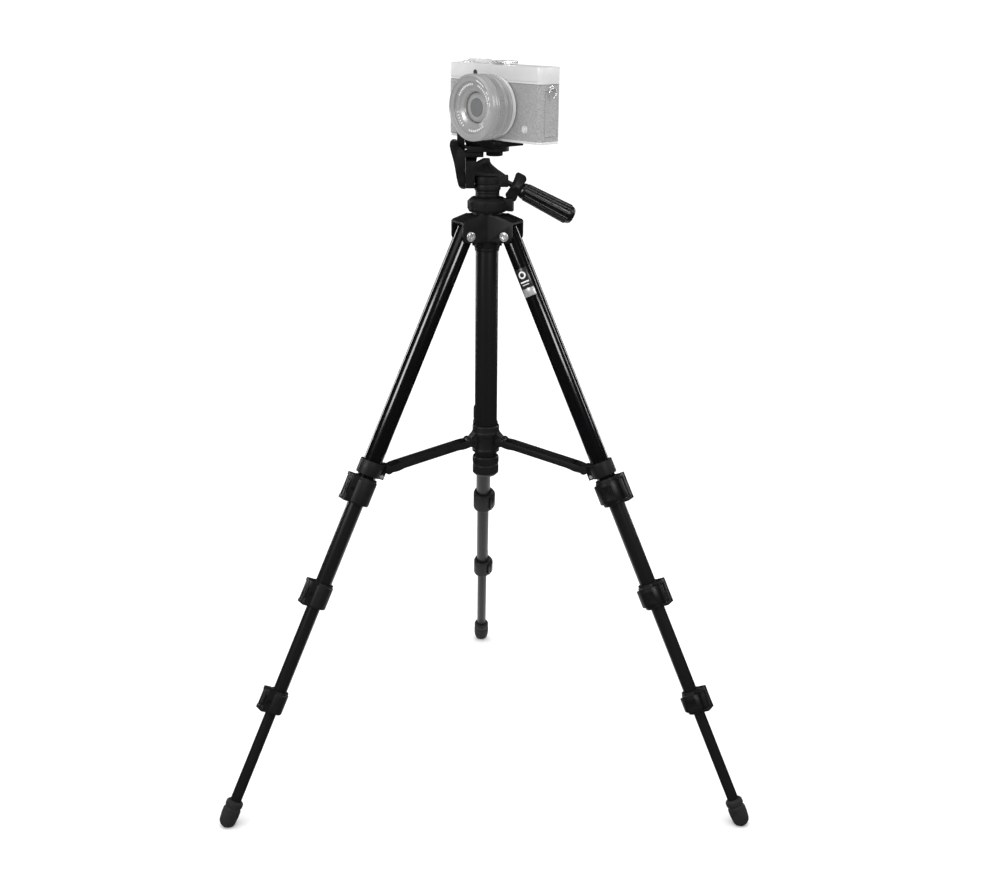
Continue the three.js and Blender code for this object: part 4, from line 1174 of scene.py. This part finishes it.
def gripShape():
    g = gripSizes
    outline = softCorners([
        (g["bore"], g["start"]), (6.2, g["start"], 0.8), (7.4, g["start"] + 1.4, 1),
        (g["thin"] - 0.8, g["start"] + 3.4), (g["thick"] - 0.8, g["end"] - 5.5, 2),
        (g["thick"] - 1.7, g["end"] - 1.8, 1.6), (g["thick"] - 4, g["end"], 1),
        (0, g["end"], 0), (0, g["boreEnd"], 0), (g["bore"], g["boreEnd"], 0)], 0.6, 3)
    return turned(outline, 80, ring=True)


made("gripCore", gripShape(), finishes["gripRubber"], "handle", handleFrame,
     replaces=["handle_grip"])
gripSpan = gripSizes["end"] - gripSizes["start"] - 11
gripLean = math.atan2(gripSizes["thick"] - gripSizes["thin"], gripSpan)
ribs("gripFlutes", "handle",
     handleFrame @ shift(0, 0, gripSizes["start"] + 5.6 + gripSpan / 2), "gripRubber", 11,
     (gripSizes["thin"] + gripSizes["thick"]) / 2 - 1.7, 1.7, gripSpan, lean=gripLean)
made("gripEndCap", turned(softCorners([(0, 76.2), (5.6, 76.2), (5.6, 76.9), (4.6, 77.35),
                                       (0, 77.5)], 0.4, 2, closed=False), 48),
     finishes["mattePlastic"], "handle", handleFrame)
made("gripFerrule", turned(softCorners([(2.7, 17.9), (4.7, 17.9), (5.4, 19.7), (5.4, 20.6),
                                        (2.7, 20.6)], 0.3, 2), 48, ring=True),
     finishes["leverPlastic"], "handle", handleFrame)
made("handleRod", puck(gripSizes["rod"], gripSizes["rodLow"], gripSizes["rodEnd"], 0.4, 32),
     finishes["blackSteel"], "handle", handleFrame, replaces=["handle_rod"])
marks("rodThread", "handle", handleFrame @ shift(0, 0, 6), "blackSteel", 16,
      2.5, (0.35, 0.5, 7.5))


wingSizes = {"reach": 13.4, "low": 8, "high": 20.2, "waist": 4.6, "waistLow": 9.6,
             "waistHigh": 19.1, "half": 5.6, "boss": 6.4, "bossLow": 10.5, "bossHigh": 18.5}


def wingShape():
    # a wing knob: two rounded lobes on a boss
    w = wingSizes
    reach, waist, low, high = w["reach"], w["waist"], w["bossLow"], w["bossHigh"]
    outline = softCorners([
        (-reach, w["low"]), (-waist, w["waistLow"], 3), (waist, w["waistLow"], 3),
        (reach, w["low"]), (reach, w["high"]), (waist, w["waistHigh"], 3),
        (-waist, w["waistHigh"], 3), (-reach, w["high"])], 5.4, 7)
    wing = sideSlab(outline, -w["half"], w["half"])
    boss = turned(softCorners([
        (0, low), (waist, low), (w["boss"], low + 1.5), (w["boss"], high - 1.5),
        (waist, high), (0, high)], 0.5, 3, closed=False), 40)
    return carved(fused(wing, boss), [puck(gripSizes["bore"], 5, 25, 0, 32)])


made("wingKnob", wingShape(), finishes["leverPlastic"], "wing_knob",
     handleFrame, bevel=2.4, segments=5, replaces=["wing_knob"])
print("head made")

# the camera is made with its width along X and its lens towards -Y
cameraSizes = {"half": 63.5, "deep": 13.5, "low": 657.5, "seam": 711.5, "top": 727,
               "corner": 5, "over": 0.4, "at": (14.5, -6), "lensX": 5, "lensZ": 689.3,
               "buttonX": -46, "buttonY": -5}
cameraFrame = standing @ shift(*cameraSizes["at"], 0) @ turnZ(cameraTurn)


def bodyOutline(grow, corner=None):
    c = cameraSizes
    x, y = c["half"] + grow, c["deep"] + grow
    return softCorners([(-x, -y), (x, -y), (x, y), (-x, y)], corner or c["corner"] * 1.15, 6)


def screwSocket():
    # the tripod screw stands beside the camera's middle
    x, y = cameraSizes["at"]
    away = turnZ(-cameraTurn) @ Vector((platformSizes["screwX"] - x, -y, 0))
    return moved(puck(platformSizes["screwHole"], 650, 664, 0, 32), shift(away.x, away.y, 0))


def shellShape():
    c = cameraSizes
    shape = slab(bodyOutline(0), c["low"] + 2.2, c["seam"])
    recess = brick((-29.35, 37.35), (12.3, 30), (662.65, 709.35))
    doorLines = [brick((62.9, 66), (y, y + 0.35), (664, 706)) for y in (-7.6, 8.2)]
    doorLines += [brick((62.9, 66), (-7.6, 8.55), (z, z + 0.35)) for z in (664, 705.65)]
    return carved(shape, [recess, screwSocket(), *doorLines])


made("cameraSkin", shellShape(), finishes["leatherSkin"], "platform",
     cameraFrame, bevel=0.3, replaces=["camera_shell"])
made("cameraBase", carved(slab(bodyOutline(0.1), cameraSizes["low"], cameraSizes["low"] + 2.3),
                          [screwSocket()]),
     finishes["silverPaint"], "platform", cameraFrame, bevel=0.7)


def topShape():
    c = cameraSizes
    shape = slab(bodyOutline(c["over"]), c["seam"] + 0.35, c["top"])
    well = moved(puck(4.55, c["top"] - 2.6, c["top"] + 1, 0, 40),
                 shift(c["buttonX"], c["buttonY"], 0))
    groove = brick((-70, 70), (-15, -13.2), (c["seam"] + 2.4, c["seam"] + 2.75))
    return carved(shape, [well, groove])


made("topCover", topShape(), finishes["silverPaint"], "platform", cameraFrame,
     bevel=1.1, segments=4, replaces=["top_plate"])
made("seamShadow", slab(bodyOutline(-0.5), cameraSizes["seam"] - 0.3, cameraSizes["seam"] + 0.6),
     finishes["shadowGap"], "platform", cameraFrame)

# lens: outline points are (radius, distance in front of the body)
lensFrame = cameraFrame @ shift(cameraSizes["lensX"], -cameraSizes["deep"],
                                cameraSizes["lensZ"]) @ turnX(90)
lensRings = {"mount": (28, 0.75, 6), "aperture": (29.6, 6.35, 14.35),
             "focus": (30.4, 14.7, 25.2), "front": (30.7, 25.55, 34.05)}


def ringShape(radius, low, high, waist):
    return turned(softCorners([
        (24.35, low), (radius - 0.5, low), (radius, low + 0.7), (radius, low + 1.7),
        (radius - waist, low + 2.1), (radius - waist, high - 2.1), (radius, high - 1.7),
        (radius, high - 0.7), (radius - 0.5, high), (24.35, high)], 0.3, 2), 128, ring=True)


for ringName, body, slotName, node, paint, waist in (
        ("mount", "platform", "silver_top", "lens_mount", "silverPaint", 0.2),
        ("aperture", "aperture_ring", "lens_metal", "aperture_ring", "paleMetal", 0.5),
        ("focus", "focus_ring", "lens_metal", "focus_ring", "paleMetal", 0.5)):
    made(f"lensRing_{ringName}", ringShape(*lensRings[ringName], waist), finishes[paint], body,
         lensFrame, replaces=[node])
radius, low, high = lensRings["focus"]
ribs("focusKnurl", "focus_ring", lensFrame @ shift(0, 0, (low + high) / 2),
     "paleMetal", 150, radius - 0.55, 0.5, high - low - 4.4)
radius, low, high = lensRings["aperture"]
ribs("apertureKnurl", "aperture_ring", lensFrame @ shift(0, 0, low + 5.6),
     "paleMetal", 110, radius - 0.55, 0.5, 2.6)
marks("apertureScale", "aperture_ring", lensFrame @ shift(0, 0, low + 2.9),
      "whiteInk", 9, radius - 0.42, (0.2, 0.4, 1.0), start=math.radians(62), sweep=math.radians(64))


def barrelShape():
    front = lensRings["front"]
    return turned(softCorners([
        (14.35, 0.75), (24, 0.75), (24, front[1]), (front[0] - 0.4, front[1]),
        (front[0], front[1] + 0.6), (front[0], front[1] + 2.6), (front[0] - 0.5, front[1] + 3),
        (front[0] - 0.5, front[1] + 3.5), (front[0], front[1] + 3.9), (front[0], front[2] - 1.6),
        (front[0] - 1.6, front[2]), (28.6, front[2]), (28.2, front[2] - 0.9),
        (24.2, front[2] - 1.3), (23.8, front[2] - 3.4), (19.2, front[2] - 4.2),
        (18.8, front[2] - 5), (15.2, front[2] - 6.4), (14.35, front[2] - 8)], 0.3, 3),
        160, ring=True)


made("lensBarrel", barrelShape(), finishes["paleMetal"], "platform", lensFrame,
     replaces=["lens_barrel"])
marks("filterThread", "platform", lensFrame @ shift(0, 0, 31.6), "paleMetal", 96,
      24.05, (0.3, 0.5, 1.7))
# plain dashes round the front ring, where such lenses carry their markings
for i, (start, sweep, count) in enumerate(((14, 62, 10), (92, 64, 10), (194, 46, 6),
                                           (258, 60, 8))):
    marks(f"frontDashes_{i}", "platform", lensFrame @ shift(0, 0, 30.36),
          "whiteInk", count, 21.4, (1.7, 1.15 + 0.3 * (i % 2), 0.5), start=math.radians(start),
          sweep=math.radians(sweep))
for i, (start, sweep, count) in enumerate(((10, 34, 3), (52, 26, 3))):
    marks(f"rimDashes_{i}", "platform", lensFrame @ shift(0, 0, 32.92),
          "whiteInk", count, 26.2, (0.9, 3.6, 0.3), start=math.radians(start),
          sweep=math.radians(sweep))
glassFace = lensRings["front"][2] - 5 - 3.4
made("frontGlass", turned([(0, glassFace - 6), (14, glassFace - 6), (14, glassFace - 1.9)]
                          + [(14 * math.cos(a), glassFace - 1.9 + 1.9 * math.sin(a))
                             for a in (math.pi / 2 * i / 10 for i in range(1, 10))]
                          + [(0, glassFace)], 96),
     finishes["lensGlass"], "platform", lensFrame, replaces=["front_glass"])
made("irisRing", turned(softCorners([(8.4, glassFace - 0.95), (13.2, glassFace - 1.5),
                                     (13.6, glassFace - 0.9), (8.8, glassFace + 0.1)], 0.2, 2),
                        96, ring=True),
     finishes["palePlastic"], "platform", lensFrame)
made("irisDisc", turned([(0, glassFace - 0.4), (8.2, glassFace - 0.4), (8.2, glassFace + 0.02),
                         (4, glassFace + 0.34), (0, glassFace + 0.42)], 64),
     finishes["innerGlass"], "platform", lensFrame)

# top: shutter button, dials and accessory shoe
top = cameraSizes["top"]
buttonFrame = cameraFrame @ shift(cameraSizes["buttonX"], cameraSizes["buttonY"], 0)
made("shutterButton", turned(softCorners([
    (0, top - 1.3), (4.2, top - 1.3), (4.2, top + 1.3), (3.7, top + 1.8), (2.2, top + 1.55),
    (0, top + 1.45)], 0.3, 3, closed=False), 48), finishes["boltSteel"], "shutter_button",
    buttonFrame, replaces=["shutter_button"])
made("shutterCollar", pipe(6.6, 4.75, top - 0.3, top + 0.9, 0.3), finishes["silverPaint"],
     "platform", buttonFrame)
dials = {"shutter_dial": (-30, 2, 8.2, 3.4, 64), "exposure_dial": (-50, 6.5, 6.2, 2.8, 48)}
for dialName, (x, y, radius, height, teeth) in dials.items():
    dialFrame = cameraFrame @ shift(x, y, 0)
    made(f"{dialName}_cap", turned(softCorners([
        (0, top + 0.35), (radius - 0.35, top + 0.35), (radius - 0.35, top + height - 0.1),
        (radius - 0.9, top + height + 0.35), (radius - 2.2, top + height + 0.35),
        (radius - 2.5, top + height + 0.15), (0, top + height + 0.15)], 0.2, 2, closed=False), 72),
        finishes["silverPaint"], dialName, dialFrame, replaces=[dialName])
    ribs(f"{dialName}_knurl", dialName,
         dialFrame @ shift(0, 0, top + 0.35 + height / 2), "silverPaint", teeth, radius - 0.42,
         0.3, height - 0.5)
    marks(f"{dialName}_marks", dialName, dialFrame @ shift(0, 0, top + height + 0.2),
          "screenGlass", 12, radius - 3.4, (1.2, 0.35, 0.25))


def shoeShape():
    low = top + 0.35
    block = roundBrick((-9.5, 9.5), (-8, 10), (low, low + 3), 1)
    channel = brick((-8.3, 8.3), (-30, 9), (low + 0.8, low + 2.1))
    opening = brick((-6.3, 6.3), (-30, 9), (low + 0.8, low + 10))
    return carved(block, [channel, opening])


made("accessoryShoe", shoeShape(), finishes["boltSteel"], "platform",
     cameraFrame, bevel=0.2, replaces=["hot_shoe"])
made("shoeContact", puck(1.5, top + 1.1, top + 1.4, 0.1, 24), finishes["palePlastic"],
     "platform", cameraFrame @ shift(0, 1, 0))

# front and side details
made("gripBump", cleaned(moved(slab(softCorners([(-60, -3), (-44, -3), (-47, 3), (-57, 3)],
                                                3, 6), 661, 708), shift(0, -12.6, 0))),
     finishes["leatherSkin"], "platform", cameraFrame, bevel=1.6, segments=4)
switchFrame = cameraFrame @ shift(43.5, -cameraSizes["deep"], 670.5) @ turnX(90)
made("focusSwitch", merge(pipe(3.6, 2.7, -0.4, 0.9, 0.3, 40), puck(2.2, -0.4, 1.2, 0.4, 32),
                          roundBrick((-0.6, 0.6), (-2.5, 2.5), (0.9, 1.9), 0.4)),
     finishes["silverPaint"], "platform", switchFrame)
windowFrame = cameraFrame @ shift(-24.5, -cameraSizes["deep"], 719) @ turnX(90)
made("assistLamp", merge(pipe(2.7, 2.0, -0.5, 0.75, 0.25, 32), puck(2.0, -0.5, 0.5, 0.2, 32)),
     finishes["screenGlass"], "platform", windowFrame)


strapSizes = {"radius": 4.3, "wire": 0.62}


def strapRing(place, name):
    # a loop of round wire, hanging from its lug
    wire = strapSizes["wire"]
    ring = bmesh.new()
    rows = []
    for i in range(48):
        a = 2 * math.pi * i / 48
        across = Vector((math.cos(a), 0, math.sin(a)))
        rows.append([ring.verts.new(across * (strapSizes["radius"] + wire * math.cos(b))
                                    + Vector((0, wire * math.sin(b), 0)))
                     for b in (2 * math.pi * j / 12 for j in range(12))])
    for i in range(48):
        for j in range(12):
            ring.faces.new((rows[i][j], rows[(i + 1) % 48][j],
                            rows[(i + 1) % 48][(j + 1) % 12], rows[i][(j + 1) % 12]))
    bmesh.ops.recalc_face_normals(ring, faces=ring.faces)
    made(name, ring, finishes["boltSteel"], "platform", place)


for sign, label in ((1, "right"), (-1, "left")):
    lugPlace = cameraFrame @ shift(sign * cameraSizes["half"], 0.5, 708.5) @ turnZ(sign * 90)
    made(f"strapLug_{label}", merge(
        moved(puck(2.6, -0.3, 1.0, 0.3, 32), turnX(90)),
        moved(roundBrick((-0.7, 0.7), (-1.8, 1.8), (0.8, 2.6), 0.4), turnX(90))),
        finishes["boltSteel"], "platform", lugPlace, bevel=0.2)
    strapRing(lugPlace @ shift(0, -1.9, -4.6) @ turnX(4), f"strapRing_{label}")

# back: screen in its frame, thumb rest, buttons and the finder eyepiece
made("backScreen", roundBrick((-29, 37), (12.65, 15.05), (663, 709), 0.4),
     finishes["palePlastic"], "platform", cameraFrame, bevel=0.6,
     replaces=["rear_screen"])
made("screenPane", moved(roundBrick((-26.5, 34.5), (-20.5, 20.5), (0, 0.5), 1.2),
                         shift(0, 14.75, 686) @ turnX(-90)),
     finishes["screenGlass"], "platform", cameraFrame, bevel=0.12)
backFrame = cameraFrame @ shift(0, cameraSizes["deep"], 0) @ turnX(-90)
pad = {"x": -44, "z": 684, "radius": 8.2}
padFrame = backFrame @ shift(pad["x"], -pad["z"], 0)
made("padRing", pipe(pad["radius"], 4.2, -0.3, 0.9, 0.4, 56), finishes["palePlastic"],
     "platform", padFrame)
made("padCentre", puck(3.6, -0.3, 1.2, 0.5, 40), finishes["silverPaint"], "platform",
     padFrame)
for i, (x, z) in enumerate(((-37, 703), (-51, 703), (-51, 668), (-38, 668), (46, 704), (55, 704))):
    made(f"backButton_{i}", puck(2.2, -0.3, 0.9, 0.4, 32), finishes["palePlastic"],
         "platform", backFrame @ shift(x, -z, 0))
made("thumbRest", moved(roundBrick((-7, 7), (-7, 7), (-0.5, 2.2), 5, 6), shift(-54, -692, 0)),
     finishes["leatherSkin"], "platform", backFrame, bevel=1.0, segments=3)
finderAt = shift(46, -718, 0)
made("finderFrame", cleaned(moved(roundBrick((-8.5, 8.5), (-5.2, 5.2), (-0.5, 2.4), 2.4, 5),
                                  finderAt)),
     finishes["palePlastic"], "platform", backFrame, bevel=0.7)
made("finderWindow", moved(roundBrick((-5.6, 5.6), (-3.2, 3.2), (2.0, 2.6), 1.2, 4), finderAt),
     finishes["screenGlass"], "platform", backFrame, bevel=0.1)
screws("baseScrews", "platform", cameraFrame @ shift(-58, 0, 657.35) @ turnX(180), 2, 116.0,
       1.6, 0.5)
print("camera made")

# a plain band on the right leg
bandSizes = {"top": -34, "split": -54, "bottom": -62, "proud": 0.12, "middle": -1.9,
             "half": 1.15}
markSizes = {"turn": 0.4, "proud": 0.2, "half": 0.6, "ringAt": -40.4, "outer": 3.7,
             "inner": 2.2, "bars": ((-48.1, -46.6, 0.5), (-50.6, -49.9, 0.4))}


def bandPiece(inside, outside, middle, half, low, high, steps):
    radius = tubes[0]["radius"]
    return slab(bandOutline(radius - inside, radius + outside, middle - half, middle + half,
                            steps), low, high)


def onBand(name, shape, paint, bevel=0.0):
    made(name, shape, finishes[paint], "leg_right", legFrame("right"), bevel=bevel)


for name, low, high, paint in (("bandDark", "split", "top", "darkFoil"),
                               ("bandSilver", "bottom", "split", "silverFoil")):
    b = bandSizes
    onBand(name, bandPiece(0.3, b["proud"], b["middle"], b["half"], b[low], b[high], 28), paint,
           0.08)

# a plain printed mark on the band: a ring over two bars
m = markSizes
markTurn = bandSizes["middle"] + m["turn"]
ringCutter = moved(pipe(m["outer"], m["inner"], 5, 15, 0, 40),
                   turnZ(math.degrees(markTurn)) @ shift(0, 0, m["ringAt"]) @ turnY(90))
inkSkin = bandPiece(m["proud"], m["proud"], markTurn, m["half"], -45, -36, 28)
onBand("bandMark", carved(inkSkin, [ringCutter], "INTERSECT"), "whiteInk")
for i, (low, high, half) in enumerate(m["bars"]):
    onBand(f"bandBar_{i}", bandPiece(m["proud"], m["proud"], markTurn, half, low, high, 20),
           "whiteInk")
print("band made")

print("scene ready")
